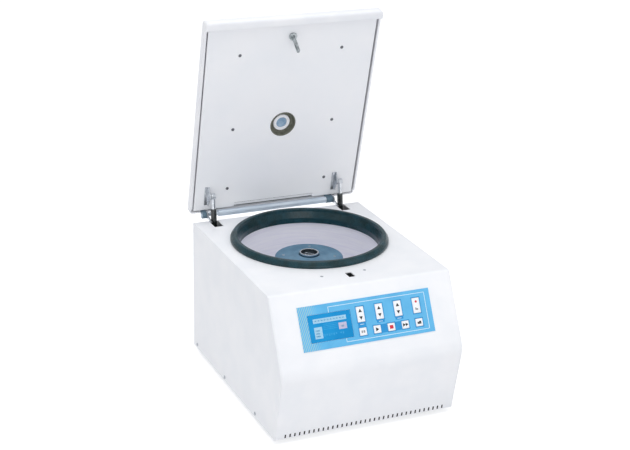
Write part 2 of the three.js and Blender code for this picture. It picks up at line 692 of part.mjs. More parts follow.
function makePowerEntry() {
  const { x, height, width, tall, lip, lipSheet, depth } = entry;
  const face = rearY + seat;
  let body = box(x - width / 2, x + width / 2, face - depth, face + 0.1, height - tall / 2, height + tall / 2);
  const lipX = width / 2 + lip;
  const lipZ = tall / 2 + lip;
  body = body.add(box(x - lipX, x + lipX, face, face + lipSheet, height - lipZ, height + lipZ));
  const socketX = x + socket.x;
  const outer = face + lipSheet;
  body = body.subtract(
    box(
      socketX - socket.width / 2,
      socketX + socket.width / 2,
      outer - socket.depth,
      outer + 1,
      height - socket.tall / 2,
      height + socket.tall / 2,
    ),
  );
  const pinFoot = outer - socket.depth;
  [[-1, 0], [1, 0], [0, 1]].forEach(([sx, sz]) => {
    const px = socketX + sx * socket.pinSpread;
    const pz = height - 2 + sz * 4;
    const half = socket.pin / 2;
    body = body.add(box(px - half, px + half, pinFoot - 0.1, pinFoot + socket.pinLength, pz - 2, pz + 2));
  });
  const rockerX = x + rocker.x;
  const halfX = rocker.width / 2 + rocker.gap;
  const halfZ = rocker.tall / 2 + rocker.gap;
  return body.subtract(
    box(rockerX - halfX, rockerX + halfX, outer - rocker.depth - 2, outer + 1, height - halfZ, height + halfZ),
  );
}
addPiece(machine, "power_entry", makePowerEntry(), blackPlastic, 0.5);

const rockerGroup = new THREE.Group();
const rockerY = rearY + seat + entry.lipSheet - 2;
rockerGroup.position.set(entry.x + rocker.x, rockerY, entry.height);
rockerGroup.rotation.x = rocker.tilt * degrees;
machine.add(rockerGroup);
function makeRocker() {
  const halfTall = rocker.tall / 2;
  const outline = rounded(
    [
      [rocker.proud, 0],
      [rocker.proud + 0.9, halfTall - 0.6],
      [-1.2, halfTall - 0.6],
      [-rocker.depth + 1.5, 4],
      [-rocker.depth + 1.5, -4],
      [-1.2, -halfTall + 0.6],
      [rocker.proud + 0.9, -halfTall + 0.6],
    ],
    true,
  );
  return alongX(outline, -rocker.width / 2, rocker.width / 2);
}
addPiece(rockerGroup, "power_rocker", makeRocker(), 0x8e1b1b, 0.4);

// ---------- hinge: arms on the rear panel, cross bar ----------
function makeHingeArm(x) {
  const eye = hinge.armEye;
  const back = rearY - casing.sheet - seat;
  const bottom = casing.height - hingeArm.reachDown;
  const outline = [
    [back - hingeArm.depth, bottom],
    [back, bottom],
    [back, casing.height + hingeArm.waistRise],
    [hingeY, hingeZ - eye],
  ];
  for (let i = 1; i < 12; i++) {
    const turn = -Math.PI / 2 + (i / 12) * 1.5 * Math.PI;
    outline.push([hingeY + eye * Math.cos(turn), hingeZ + eye * Math.sin(turn)]);
  }
  outline.push([hingeY - eye, hingeZ], [back - hingeArm.depth, casing.height + hingeArm.frontRise]);
  const x0 = x - strutSlot.left + 0.4;
  const arm = alongX(outline, x0, x0 + hingeArm.sheet);
  return arm.subtract(cylinderX(hinge.pinRadius + seat, x0 - 1, x0 + hingeArm.sheet + 1, hingeY, hingeZ));
}
sides.forEach(([label, side]) => {
  addPiece(machine, `hinge_arm_${label}`, makeHingeArm(side * strut.x), bright, 0.3, 1);
});

const leftArmX = -strut.x - strutSlot.left + 0.4;
const rightArmX = strut.x - strutSlot.left + 0.4;
const barLeft = leftArmX + hinge.barStart;
const barRight = rightArmX - knuckle.rightInner - 2 * running;
const pinLeft = leftArmX - knuckle.leftOuter - 1;
const pinRight = rightArmX + hingeArm.sheet + 1.5;
const hingeBar = cylinderX(hinge.pinRadius, pinLeft, pinRight, hingeY, hingeZ).add(
  cylinderX(hinge.barRadius, barLeft, barRight, hingeY, hingeZ, 24),
);
addPiece(machine, "hinge_bar", hingeBar, 0xa9bccb, 0.35, 0.9);

// ---------- lid, built closed about the hinge axis and then turned open ----------
lidGroup.position.set(0, hingeY, hingeZ);
lidGroup.rotation.x = open;
const lidFrontY = lidRear.overhang - lid.length - 2;
const lidTopZ = lid.rise + lid.top;
const cavityTop = lidTopZ - lid.topWall;
const panelBack = lid.rise + panel.sheet;

// The lens sits in a socket moulded on the underside of the lid's top.
const portY = rowY(viewPort.row);
const plugBottom = cavityTop - viewPort.plugDepth;
const lensBottom = cavityTop - viewPort.lens;
const plugProfile = [
  [viewPort.plugBore, plugBottom],
  [viewPort.plugRadius, plugBottom],
  [viewPort.plugRadius, lidTopZ],
  [viewPort.plugBore, lidTopZ],
  [viewPort.plugBore, cavityTop],
  [viewPort.plugBore + 1.6, cavityTop],
  [viewPort.plugBore + 1.6, lensBottom],
  [viewPort.plugBore, lensBottom],
];

function makeLidShell() {
  const rimZ = dropZ(lid.rim);
  const noseInner = lidFrontY + nose.depth;
  const outline = rounded(
    [
      [lidRear.overhang, lidRear.bottom],
      [lidRear.overhang, lidTopZ, lidRear.radius],
      [lidFrontY, lidTopZ, nose.radius],
      [lidFrontY, dropZ(nose.drop), nose.lowerRadius],
      [noseInner, dropZ(nose.drop), 1.5],
      [noseInner, rimZ],
      [-lidRear.relief, rimZ],
      [-lidRear.relief, lidRear.bottom],
    ],
    true,
  );
  let shell = alongX(outline, -halfWidth, halfWidth);
  const plan = rounded(
    [
      [-halfWidth, lidFrontY - 1, 0],
      [halfWidth, lidFrontY - 1, 0],
      [halfWidth, lidRear.overhang + 1, 0],
      [-halfWidth, lidRear.overhang + 1, 0],
    ],
    true,
  );
  const roundPlan = rounded(
    plan.map(([x, y]) => [x, y > lidFrontY ? lidRear.overhang : lidFrontY, lidRear.cornerRadius]),
    true,
  );
  shell = shell.intersect(alongZ(roundPlan, -50, 50));
  const halfCavity = halfWidth - lid.wall;
  const rearInner = lidRear.overhang - lidRear.wall;
  shell = shell.subtract(box(-halfCavity, halfCavity, noseInner + 0.5, rearInner, -40, cavityTop));
  const noseFloor = dropZ(nose.drop) + nose.floor;
  shell = shell.subtract(
    box(-halfCavity, halfCavity, lidFrontY + nose.wall, noseInner + 1, noseFloor, cavityTop),
  );
  [-1, 1].forEach((side) => {
    panelBoss.rows.forEach((row) => {
      const x = side * panelBoss.x;
      shell = shell.add(cylinder(panelBoss.radius, panelBack + turnedSeat, cavityTop + 0.1, x, rowY(row), 12));
    });
  });
  const railRear = rowY(0) - rail.gap;
  shell = shell.add(
    box(-rail.halfWidth, rail.halfWidth, railRear - rail.depth, railRear, panelBack + turnedSeat, cavityTop + 0.1),
  );
  const lensHole = cylinder(viewPort.plugBore, cavityTop - 1, lidTopZ + 1, 0, portY, 32);
  return shell.subtract(lensHole).add(turned(plugProfile, 0, portY, 32));
}
addPiece(lidGroup, "lid_shell", makeLidShell(), white, 0.35);

function makeLidPanel() {
  let sheet = box(-panel.halfWidth, panel.halfWidth, rowY(panel.length), rowY(0), lid.rise, panelBack);
  sheet = sheet.subtract(
    box(panel.notchLeft, panel.notchRight, rowY(panel.notchDepth), rowY(-1), lid.rise - 1, panelBack + 1),
  );
  const portRadius = viewPort.tubeRadius + turnedSeat;
  return sheet.subtract(cylinder(portRadius, lid.rise - 1, panelBack + 1, 0, rowY(viewPort.row), 32));
}
addPiece(lidGroup, "lid_panel", makeLidPanel(), 0xe6e8ea, 0.4);

const tubeTop = cavityTop - turnedSeat;
const tubeInner = viewPort.tubeRadius - viewPort.tubeWall;
const portTubeProfile = [
  [viewPort.plugRadius + turnedSeat, tubeTop - viewPort.tubeWall],
  [tubeInner, tubeTop - viewPort.tubeWall],
  [tubeInner, lid.rise],
  [viewPort.tubeRadius, lid.rise],
  [viewPort.tubeRadius, tubeTop],
  [viewPort.plugRadius + turnedSeat, tubeTop],
];
addPiece(lidGroup, "view_port_tube", turned(portTubeProfile, 0, portY, 32), 0x5f5d52, 0.6);

const lensRadius = viewPort.plugBore + 1.6 - turnedSeat;
addPiece(
  lidGroup,
  "view_port_lens",
  cylinder(lensRadius, lensBottom + turnedSeat, cavityTop - turnedSeat, 0, portY, 32),
  0x9fb9d0,
  0.05,
);

// The striker's plate lies across the lid's width, so that the lock's bolt can pass through its window.
const strikerFoot = new THREE.Vector2(rowY(striker.row), dropZ(striker.collarHeight - 1));
const strikerTip = new THREE.Vector2(rowY(striker.row - striker.lean), dropZ(striker.length));
const strikerRun = strikerTip.clone().sub(strikerFoot);
const toWindow = strikerWindow.fromTip + strikerWindow.length / 2;
const windowCentre = strikerTip.clone().sub(strikerRun.clone().setLength(toWindow));

function makeStriker() {
  const across = new THREE.Vector2(strikerRun.y, -strikerRun.x).setLength(striker.width / 2);
  const corners = [
    strikerFoot.clone().add(across),
    strikerTip.clone().add(across),
    strikerTip.clone().sub(across),
    strikerFoot.clone().sub(across),
  ];
  const outline = rounded([
    [corners[0].x, corners[0].y],
    [corners[1].x, corners[1].y, 1.5],
    [corners[2].x, corners[2].y, 1.5],
    [corners[3].x, corners[3].y],
  ], true, 3);
  const x = latch.x;
  const hook = alongX(outline, x - striker.sheet / 2, x + striker.sheet / 2);
  const hole = new THREE.BoxGeometry(3 * striker.sheet, strikerWindow.length, strikerWindow.width);
  hole.rotateX(strikerRun.angle()).translate(x, windowCentre.x, windowCentre.y);
  const collarTop = lid.rise - turnedSeat;
  const collarBottom = collarTop - striker.collarHeight;
  const collar = cylinder(striker.collarRadius, collarBottom, collarTop, x, strikerFoot.x, 20);
  return hook.subtract(solid(hole)).add(collar);
}
addPiece(lidGroup, "latch_striker", makeStriker(), steel, 0.25, 1);

// ---------- lid lock under the slot in the top plate ----------
const slotRight = latch.x + latch.slotWidth / 2;
const boltTip = slotRight + bolt.clearOfSlot;
const boltY = hingeY + windowCentre.x;
const boltZ = hingeZ + windowCentre.y;

function makeLockHousing() {
  const top = plateBottom - seat;
  const bottom = top - latch.height;
  const slotLeft = latch.x - latch.slotWidth / 2;
  const y0 = slotY - latch.slotLength / 2;
  const y1 = slotY + latch.slotLength / 2;
  const right = slotRight + latch.boltRoom;
  let housing = box(slotLeft - latch.wall, right, y0 - latch.wall, y1 + latch.wall, bottom, top);
  housing = housing.subtract(box(slotLeft, slotRight, y0, y1, bottom + latch.wall, top + 1));
  return housing.subtract(cylinderX(bolt.radius + running, slotRight - 1, right - latch.wall, boltY, boltZ));
}

addPiece(machine, "lock_housing", makeLockHousing(), 0x3a3d42, 0.6);
const lockBolt = cylinderX(bolt.radius, boltTip, boltTip + bolt.length, boltY, boltZ);
addPiece(machine, "lock_bolt", lockBolt, steel, 0.3, 1);

// ---------- brackets and knuckles on the lid ----------

function makeLidBracket(x) {
  const top = lid.rise - turnedSeat;
  const earRight = x - tube.eyeWidth / 2 - bracket.earGap;
  const earLeft = earRight - bracket.ear;
  const y0 = rowY(bracket.rowEnd);
  const y1 = rowY(bracket.rowStart);
  const plate = box(x - bracket.left, earRight, y0, y1, top - bracket.sheet, top);
  const outline = [
    [y0, top],
    [y0, top - 3],
    [pivotY - bracket.earRadius, pivotZ],
  ];
  for (let i = 1; i <= 8; i++) {
    const turn = Math.PI + (i / 8) * Math.PI;
    outline.push([pivotY + bracket.earRadius * Math.cos(turn), pivotZ + bracket.earRadius * Math.sin(turn)]);
  }
  outline.push([y1, top - 5], [y1, top]);
  const ear = alongX(outline, earLeft, earRight);
  const pin = cylinderX(bracket.pinRadius, earLeft, x + tube.eyeWidth / 2 + 1, pivotY, pivotZ);
  return plate.add(ear).add(pin);
}
sides.forEach(([label, side]) => {
  addPiece(lidGroup, `lid_bracket_${label}`, makeLidBracket(side * strut.x), bright, 0.3, 1);
});

function makeKnuckle(x0, x1) {
  const leafY = lidRear.overhang - lidRear.wall - turnedSeat;
  const leaf = box(x0, x1, leafY - knuckle.leaf, leafY, 0, knuckle.leafTop);
  const barrel = cylinderX(hinge.knuckleRadius, x0, x1, 0, 0, 24);
  return barrel.add(leaf).subtract(cylinderX(hinge.pinRadius + running, x0 - 1, x1 + 1, 0, 0));
}
const leftKnuckleX = leftArmX - running - knuckle.leftOuter;
addPiece(lidGroup, "hinge_knuckle_left", makeKnuckle(leftKnuckleX, leftArmX - running), 0x6f8797, 0.4, 0.8);
const rightKnuckleX = rightArmX - running - knuckle.rightInner;
addPiece(lidGroup, "hinge_knuckle_right", makeKnuckle(rightKnuckleX, rightArmX - running), 0x6f8797, 0.4, 0.8);

// ---------- gas struts: tube on the lid, rod in it, foot anchor in the casing ----------

// How far the rod's end strays from the foot pin between open and shut, across and along the rod,
// when the strut's turn and stroke both keep step with the lid's angle.
function pinDrift() {
  const drift = new THREE.Box2().makeEmpty();
  for (let step = 0; step <= 1; step += 1 / 32) {
    const angle = openLine.angle() + strutTurn * step;
    const reach = openLine.length() - strutStroke * step;
    const end = pivotAt(open * (1 - step)).sub(new THREE.Vector2(reach, 0).rotateAround(new THREE.Vector2(), angle));
    drift.expandByPoint(strutFoot.clone().sub(end).rotateAround(new THREE.Vector2(), -angle));
  }
  return drift;
}
const drift = pinDrift();

function makeTube() {
  const bottom = -tube.fitting - tube.length;
  let body = cylinderX(tube.eyeRadius, -tube.eyeWidth / 2, tube.eyeWidth / 2, 0, 0, 20);
  body = body.add(cylinder(tube.shankRadius, -tube.fitting - 1, -2, 0, 0));
  body = body.add(cylinder(tube.radius, bottom, -tube.fitting, 0, 0));
  body = body.subtract(cylinderX(bracket.pinRadius + running, -tube.eyeWidth, tube.eyeWidth, 0, 0));
  return body.subtract(cylinder(tube.bore, bottom - 1, -tube.fitting - tube.plug, 0, 0));
}

// The rod is drawn from its foot pin at the origin, up +Z towards the tube.
function makeRod() {
  const room = rod.pinRadius + 2 * running;
  const y0 = -drift.max.y - room;
  const y1 = -drift.min.y + room;
  const z0 = drift.min.x - room;
  const z1 = drift.max.x + room;
  const half = rod.eyeWidth / 2;
  const wall = rod.eyeWall;
  let body = box(-half, half, y0 - wall, y1 + wall, z0 - wall, z1 + wall);
  body = body.add(cylinder(rod.radius, z1 + wall - 0.5, rod.length, 0, 0, 12));
  return body.subtract(box(-half - 1, half + 1, y0, y1, z0, z1));
}

const strutLean = openLine.angle() - Math.PI / 2;
const openPivot = pivotAt(open);
sides.forEach(([label, side]) => {
  const tubeGroup = new THREE.Group();
  tubeGroup.position.set(side * strut.x, openPivot.x, openPivot.y);
  tubeGroup.rotation.x = strutLean;
  const rodGroup = new THREE.Group();
  rodGroup.position.set(side * strut.x, strutFoot.x, strutFoot.y);
  rodGroup.rotation.x = strutLean;
  machine.add(tubeGroup, rodGroup);
  addPiece(tubeGroup, `strut_tube_${label}`, makeTube(), blackPlastic, 0.35, 0.3);
  addPiece(rodGroup, `strut_rod_${label}`, makeRod(), bright, 0.2, 1);
});

function makeAnchor(side) {
  const x = side * strut.x;
  const near = x + side * anchor.gap;
  const far = near + side * anchor.sheet;
  const flangeEnd = near + side * anchor.flange;
  const y0 = strutFoot.x - anchor.depth / 2;
  const y1 = strutFoot.x + anchor.depth / 2;
  const z0 = baseTop + seat;
  const plate = box(Math.min(near, far), Math.max(near, far), y0, y1, z0, anchor.top);
  const flange = box(Math.min(near, flangeEnd), Math.max(near, flangeEnd), y0, y1, z0, z0 + anchor.sheet);
  const pinEnd = x - side * (rod.eyeWidth / 2 + 2);
  const pin = cylinderX(rod.pinRadius, Math.min(near, pinEnd), Math.max(near, pinEnd), strutFoot.x, strutFoot.y);
  return plate.add(flange).add(pin);
}
sides.forEach(([label, side]) => {
  addPiece(machine, `strut_anchor_${label}`, makeAnchor(side), steel, 0.4, 0.9);
});

// ---------- the part's own frame ----------
machine.updateMatrixWorld(true);
const extent = new THREE.Box3().setFromObject(machine, true);
machine.position.set(0, -(extent.min.y + extent.max.y) / 2, -extent.min.z);

const root = new THREE.Group();
root.add(machine);
export default root;
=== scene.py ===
import json
import math

import bmesh
import bpy
from mathutils import Matrix, Vector


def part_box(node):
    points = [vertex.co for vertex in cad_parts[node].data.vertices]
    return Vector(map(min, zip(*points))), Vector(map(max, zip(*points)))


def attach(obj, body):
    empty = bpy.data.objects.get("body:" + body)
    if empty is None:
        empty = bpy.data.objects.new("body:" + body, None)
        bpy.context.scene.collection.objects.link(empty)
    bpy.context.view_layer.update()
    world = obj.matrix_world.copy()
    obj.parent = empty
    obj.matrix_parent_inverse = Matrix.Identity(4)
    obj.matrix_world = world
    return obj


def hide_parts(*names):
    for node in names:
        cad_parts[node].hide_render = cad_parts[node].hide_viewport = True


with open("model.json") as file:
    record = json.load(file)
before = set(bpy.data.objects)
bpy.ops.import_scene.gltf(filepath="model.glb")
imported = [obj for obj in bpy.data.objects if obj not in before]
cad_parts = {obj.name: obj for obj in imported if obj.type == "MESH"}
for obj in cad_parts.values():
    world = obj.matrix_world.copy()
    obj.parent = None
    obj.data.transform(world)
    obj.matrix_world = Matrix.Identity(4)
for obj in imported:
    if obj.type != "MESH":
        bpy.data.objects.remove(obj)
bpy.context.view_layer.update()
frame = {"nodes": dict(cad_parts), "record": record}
MM = 0.001

# ---------------------------------------------------------------------------
# Studio. The machine stands on a plain white floor, under even light with a
# broad lamp from the front right, and is seen from above its front left.
# ---------------------------------------------------------------------------
view_yaw, view_pitch, view_roll = (math.radians(a) for a in (-24.054, -20.533, -1.291))
view_turn = (
    Matrix.Rotation(view_yaw, 3, "Z")
    @ Matrix.Rotation(view_pitch, 3, "X")
    @ Matrix.Rotation(view_roll, 3, "Y")
)
view_right, view_ahead, view_up = view_turn.col[0], view_turn.col[1], view_turn.col[2]
view = bpy.data.cameras.new("view")
view.lens = 83.71
view.sensor_width = 36
view.clip_start = 0.1
camera = bpy.data.objects.new("camera", view)
bpy.context.scene.collection.objects.link(camera)
stance = Matrix((view_right, view_up, -view_ahead)).transposed().to_4x4()
stance.translation = (-1.0952, -2.4281, 1.3274)
camera.matrix_world = stance
bpy.context.scene.camera = camera
bpy.context.scene.view_settings.view_transform = "Standard"


def lamp(name, place, aim, size, power, tint):
    light = bpy.data.lights.new(name, "AREA")
    light.shape = "RECTANGLE"
    light.size, light.size_y = size
    light.energy = power
    light.color = tint
    holder = bpy.data.objects.new(name, light)
    bpy.context.scene.collection.objects.link(holder)
    holder.location = place
    holder.rotation_euler = (Vector(aim) - Vector(place)).to_track_quat("-Z", "Y").to_euler()


lamp("lamp_front_right", (2.6, -2.6, 3.0), (0, 0, 0.3), (2.6, 2.2), 12, (1, 1, 1))
lamp("lamp_above", (-0.6, -0.4, 3.3), (0, 0, 0.3), (3.0, 2.0), 41, (1, 1, 1))
lamp("lamp_front", (-0.6, -3.6, 0.8), (0, 0, 0.4), (2.4, 1.4), 23, (1, 1, 1))
lamp("lamp_left", (-3.4, -1.2, 1.6), (0, 0, 0.35), (1.2, 2.2), 4, (0.95, 0.98, 1))

world = bpy.data.worlds.new("studio_air")
bpy.context.scene.world = world
world.use_nodes = True
air = world.node_tree
air.nodes["Background"].inputs["Color"].default_value = (0.94, 0.965, 1.0, 1)
air.nodes["Background"].inputs["Strength"].default_value = 0.62
seen = air.nodes.new("ShaderNodeBackground")
seen.inputs["Color"].default_value = (1, 1, 1, 1)
seen.inputs["Strength"].default_value = 1.0
ray = air.nodes.new("ShaderNodeLightPath")
air_choice = air.nodes.new("ShaderNodeMixShader")
air.links.new(ray.outputs["Is Camera Ray"], air_choice.inputs["Fac"])
air.links.new(air.nodes["Background"].outputs[0], air_choice.inputs[1])
air.links.new(seen.outputs[0], air_choice.inputs[2])
air.links.new(air_choice.outputs[0], air.nodes["World Output"].inputs["Surface"])

floor_mesh = bpy.data.meshes.new("floor")
floor_mesh.from_pydata(
    [(-30, -30, -0.0005), (30, -30, -0.0005), (30, 30, -0.0005), (-30, 30, -0.0005)], [],
    [(0, 1, 2, 3)]
)
floor = bpy.data.objects.new("floor", floor_mesh)
bpy.context.scene.collection.objects.link(floor)
floor_paint = bpy.data.materials.new("floor_paint")
floor_paint.use_nodes = True
tree = floor_paint.node_tree
tree.nodes["Principled BSDF"].inputs["Base Color"].default_value = (0.72, 0.72, 0.73, 1)
tree.nodes["Principled BSDF"].inputs["Roughness"].default_value = 0.9
glow = tree.nodes.new("ShaderNodeEmission")
glow.inputs["Color"].default_value = (1, 1, 1, 1)
ray = tree.nodes.new("ShaderNodeLightPath")
seen_or_mirrored = tree.nodes.new("ShaderNodeMath")
seen_or_mirrored.operation = "MAXIMUM"
through = tree.nodes.new("ShaderNodeMath")
through.operation = "MAXIMUM"
strength = tree.nodes.new("ShaderNodeMath")
strength.operation = "MULTIPLY"
strength.inputs[1].default_value = 0.62
both = tree.nodes.new("ShaderNodeAddShader")
tree.links.new(ray.outputs["Is Camera Ray"], seen_or_mirrored.inputs[0])
tree.links.new(ray.outputs["Is Glossy Ray"], seen_or_mirrored.inputs[1])
tree.links.new(seen_or_mirrored.outputs[0], through.inputs[0])
tree.links.new(ray.outputs["Is Transmission Ray"], through.inputs[1])
tree.links.new(through.outputs[0], strength.inputs[0])
tree.links.new(strength.outputs[0], glow.inputs["Strength"])
tree.links.new(tree.nodes["Principled BSDF"].outputs[0], both.inputs[0])
tree.links.new(glow.outputs[0], both.inputs[1])
tree.links.new(both.outputs[0], tree.nodes["Material Output"].inputs["Surface"])
floor_mesh.materials.append(floor_paint)


# ---------------------------------------------------------------------------
# Base pan. A folded pan of zinc-plated steel carries the whole machine, with
# its sides turned up for the casing's screws. The plating has a faint spangle.
# ---------------------------------------------------------------------------
def tone(red, green, blue):
    """A colour as it is seen, from 0 to 255 each."""
    return tuple(c / 255 / 12.92 if c <= 10 else ((c / 255 + 0.055) / 1.055) ** 2.4 for c in (red, green, blue)) + (
        1,
    )


def finish(
    name, pale, deep, patch, gloss, grain, relief, metallic=0.0, coat=0.0, stretch=(1, 1, 1),
    specular=0.5
):
    """A finish that drifts between two tones over patches, with a grain in its gloss and surface. Sizes in mm."""
    made = bpy.data.materials.new(name)
    made.use_nodes = True
    nodes, links = made.node_tree.nodes, made.node_tree.links
    surface = nodes["Principled BSDF"]
    surface.inputs["Metallic"].default_value = metallic
    surface.inputs["Coat Weight"].default_value = coat
    surface.inputs["Coat Roughness"].default_value = 0.12
    surface.inputs["Specular IOR Level"].default_value = specular
    place = nodes.new("ShaderNodeTexCoord")
    stretched = nodes.new("ShaderNodeMapping")
    stretched.inputs["Scale"].default_value = stretch
    links.new(place.outputs["Object"], stretched.inputs["Vector"])
    drift = nodes.new("ShaderNodeTexNoise")
    drift.inputs["Scale"].default_value = 1 / (patch * MM)
    drift.inputs["Detail"].default_value = 3
    tones = nodes.new("ShaderNodeValToRGB")
    tones.color_ramp.elements[0].position = 0.35
    tones.color_ramp.elements[0].color = deep
    tones.color_ramp.elements[1].position = 0.65
    tones.color_ramp.elements[1].color = pale
    links.new(stretched.outputs[0], drift.inputs["Vector"])
    links.new(drift.outputs["Fac"], tones.inputs["Fac"])
    links.new(tones.outputs["Color"], surface.inputs["Base Color"])
    texture = nodes.new("ShaderNodeTexNoise")
    texture.inputs["Scale"].default_value = 1 / (grain * MM)
    texture.inputs["Detail"].default_value = 2
    links.new(stretched.outputs[0], texture.inputs["Vector"])
    shine = nodes.new("ShaderNodeMapRange")
    shine.inputs["From Min"].default_value = 0.3
    shine.inputs["From Max"].default_value = 0.7
    shine.inputs["To Min"].default_value = gloss[0]
    shine.inputs["To Max"].default_value = gloss[1]
    links.new(texture.outputs["Fac"], shine.inputs["Value"])
    links.new(shine.outputs["Result"], surface.inputs["Roughness"])
    bumps = nodes.new("ShaderNodeBump")
    bumps.inputs["Strength"].default_value = 0.5
    bumps.inputs["Distance"].default_value = relief * MM
    links.new(texture.outputs["Fac"], bumps.inputs["Height"])
    links.new(bumps.outputs["Normal"], surface.inputs["Normal"])
    return made


def coat_node(node, material):
    """Gives a CAD node, as it is, a finish."""
    part = frame["nodes"][node]
    if not part.material_slots:
        part.data.materials.append(material)
    for place in part.material_slots:
        place.material = material


zinc_plate = finish(
    "zinc_plate", tone(190, 194, 199), tone(160, 165, 171), 14, (0.34, 0.5), 1.8, 0.02, metallic=0.9
)
coat_node("base_pan", zinc_plate)


# ---------------------------------------------------------------------------
# Feet. Four moulded rubber feet, each turned on a lathe-cut mould, are held
# under the pan by a screw that sits deep in the foot's recess.
# ---------------------------------------------------------------------------
def softened(corners, steps=6):
    """A path of (a, b) or (a, b, radius) corners with its corners rounded."""
    path = []
    for i, corner in enumerate(corners):
        radius = corner[2] if len(corner) > 2 else 0
        if not radius or i in (0, len(corners) - 1):
            path.append(tuple(corner[:2]))
            continue
        here = Vector(corner[:2])
        before = (Vector(corners[i - 1][:2]) - here).normalized()
        after = (Vector(corners[i + 1][:2]) - here).normalized()
        half = before.angle(after) / 2
        reach = radius / math.tan(half)
        start, end = here + before * reach, here + after * reach
        for k in range(steps + 1):
            t = k / steps
            path.append(tuple(start * (1 - t) ** 2 + here * 2 * t * (1 - t) + end * t**2))
    return path


def turned(name, profile, centre, axis="Z", steps=96, closed=True):
    """A mesh turned about an axis through centre. The profile is (radius, height along the axis), in mm."""
    form = bmesh.new()
    rings = []
    for radius, height in profile:
        count = 1 if radius < 1e-6 else steps
        ring = []
        for k in range(count):
            turn = 2 * math.pi * k / steps
            ring.append(form.verts.new((radius * MM * math.cos(turn), radius * MM * math.sin(turn), height * MM)))
        rings.append(ring)
    pairs = list(zip(rings, rings[1:] + rings[:1])) if closed else list(zip(rings, rings[1:]))
    for low, high in pairs:
        if len(low) == 1 and len(high) == 1:
            continue
        for k in range(steps):
            n = (k + 1) % steps
            if len(low) == 1:
                form.faces.new((low[0], high[n], high[k]))
            elif len(high) == 1:
                form.faces.new((low[k], low[n], high[0]))
            else:
                form.faces.new((low[k], low[n], high[n], high[k]))
    bmesh.ops.recalc_face_normals(form, faces=form.faces)
    facing = {"Z": Matrix(), "X": Matrix.Rotation(math.pi / 2, 4, "Y"), "-X": Matrix.Rotation(-math.pi / 2, 4, "Y"), "Y": Matrix.Rotation(-math.pi / 2, 4, "X")}
    if isinstance(axis, str):
        form.transform(facing[axis])
    else:
        form.transform(Vector(axis).to_track_quat("Z", "X").to_matrix().to_4x4())
    form.transform(Matrix.Translation(centre))
    return made_piece(name, form)


def made_piece(name, form, sharp=35):
    """Puts a bmesh in the scene as a smooth piece whose edges over an angle stay sharp."""
    mesh = bpy.data.meshes.new(name)
    form.to_mesh(mesh)
    form.free()
    mesh.polygons.foreach_set("use_smooth", [True] * len(mesh.polygons))
    mesh.set_sharp_from_angle(angle=math.radians(sharp))
    piece = bpy.data.objects.new(name, mesh)
    bpy.context.scene.collection.objects.link(piece)
    return piece


def fit(piece, material, body="cabinet", stands_for=()):
    """Gives a finished piece its material and body, and hides the CAD nodes it stands for."""
    piece.data.materials.clear()
    piece.data.materials.append(material)
    if stands_for:
        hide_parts(*([stands_for] if isinstance(stands_for, str) else stands_for))
    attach(piece, body)
    return piece


def middle(node):
    low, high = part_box(node)
    return (Vector(low) + Vector(high)) / 2


foot_radius, foot_height, foot_recess = 16, 12.8, 5
foot_rubber = finish(
    "foot_rubber", tone(42, 43, 46), tone(28, 29, 31), 6, (0.75, 0.95), 0.6, 0.03, specular=0.35
)
for corner in ("front_left", "front_right", "rear_left", "rear_right"):
    low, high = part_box("foot_" + corner)
    centre = Vector(((low[0] + high[0]) / 2, (low[1] + high[1]) / 2, low[2]))
    profile = softened(
        [
            (0, foot_recess),
            (4, foot_recess),
            (4, 0, 0.6),
            (foot_radius - 0.05, 0, 2.0),
            (foot_radius - 0.05, 3.0, 0.5),
            (foot_radius - 1.5, foot_height, 1.0),
            (0, foot_height),
        ]
    )
    foot = turned("foot_moulded_" + corner, profile, centre, steps=64, closed=False)
    fit(foot, foot_rubber, stands_for="foot_" + corner)

# ---------------------------------------------------------------------------
# Drive. The cast motor stands on a rubber ring, its shaft rises into the
# chamber, and a thick steel ring round the chamber catches a broken rotor.
# ---------------------------------------------------------------------------
coat_node("motor_damper", foot_rubber)
cast_metal = finish(
    "cast_metal", tone(120, 125, 131), tone(96, 101, 107), 9, (0.5, 0.68), 0.9, 0.05, metallic=0.7
)
coat_node("motor_housing", cast_metal)
turned_steel = finish(
    "turned_steel", tone(206, 209, 214), tone(184, 188, 194), 5, (0.2, 0.34), 0.5, 0.004,
    metallic=1.0, stretch=(1, 1, 14)
)
coat_node("drive_shaft", turned_steel)
primed_steel = finish(
    "primed_steel", tone(128, 131, 135), tone(110, 113, 118), 30, (0.55, 0.7), 1.4, 0.03,
    metallic=0.2
)
coat_node("guard_ring", primed_steel)

# ---------------------------------------------------------------------------
# Chamber bowl. Spun from stainless sheet over a former, with a raised cone in
# its floor for the drive. Its flange is clamped under the top plate.
# ---------------------------------------------------------------------------
bowl_wall, bowl_sheet, bowl_flange = 142.5, 1.5, 157
bowl_floor, cone_top = -119.8, -41.8
low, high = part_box("chamber_bowl")
chamber_axis = Vector(((low[0] + high[0]) / 2, (low[1] + high[1]) / 2, 0))
bowl_inside = softened(
    [
        (29, cone_top), (65, cone_top, 4), (84, bowl_floor, 12), (bowl_wall, bowl_floor, 12),
        (bowl_wall, 0, 0.8), (bowl_flange, 0)
    ], 8
)
bowl_outside = softened(
    [
        (bowl_flange, -bowl_sheet),
        (bowl_wall + bowl_sheet, -bowl_sheet),
        (bowl_wall + bowl_sheet, bowl_floor - bowl_sheet, 13.5),
        (82.9, bowl_floor - bowl_sheet, 10.5),
        (63.9, cone_top - bowl_sheet, 3),
        (29, cone_top - bowl_sheet),
    ],
    8,
)
bowl = turned(
    "chamber_bowl_spun", bowl_inside + bowl_outside, chamber_axis + Vector((0, 0, high[2])),
    steps=192
)
bowl_steel = finish(
    "bowl_steel", tone(250, 249, 254), tone(242, 241, 250), 70, (0.36, 0.46), 0.8, 0.004,
    metallic=0.1, stretch=(1, 1, 20)
)
fit(bowl, bowl_steel, stands_for="chamber_bowl")


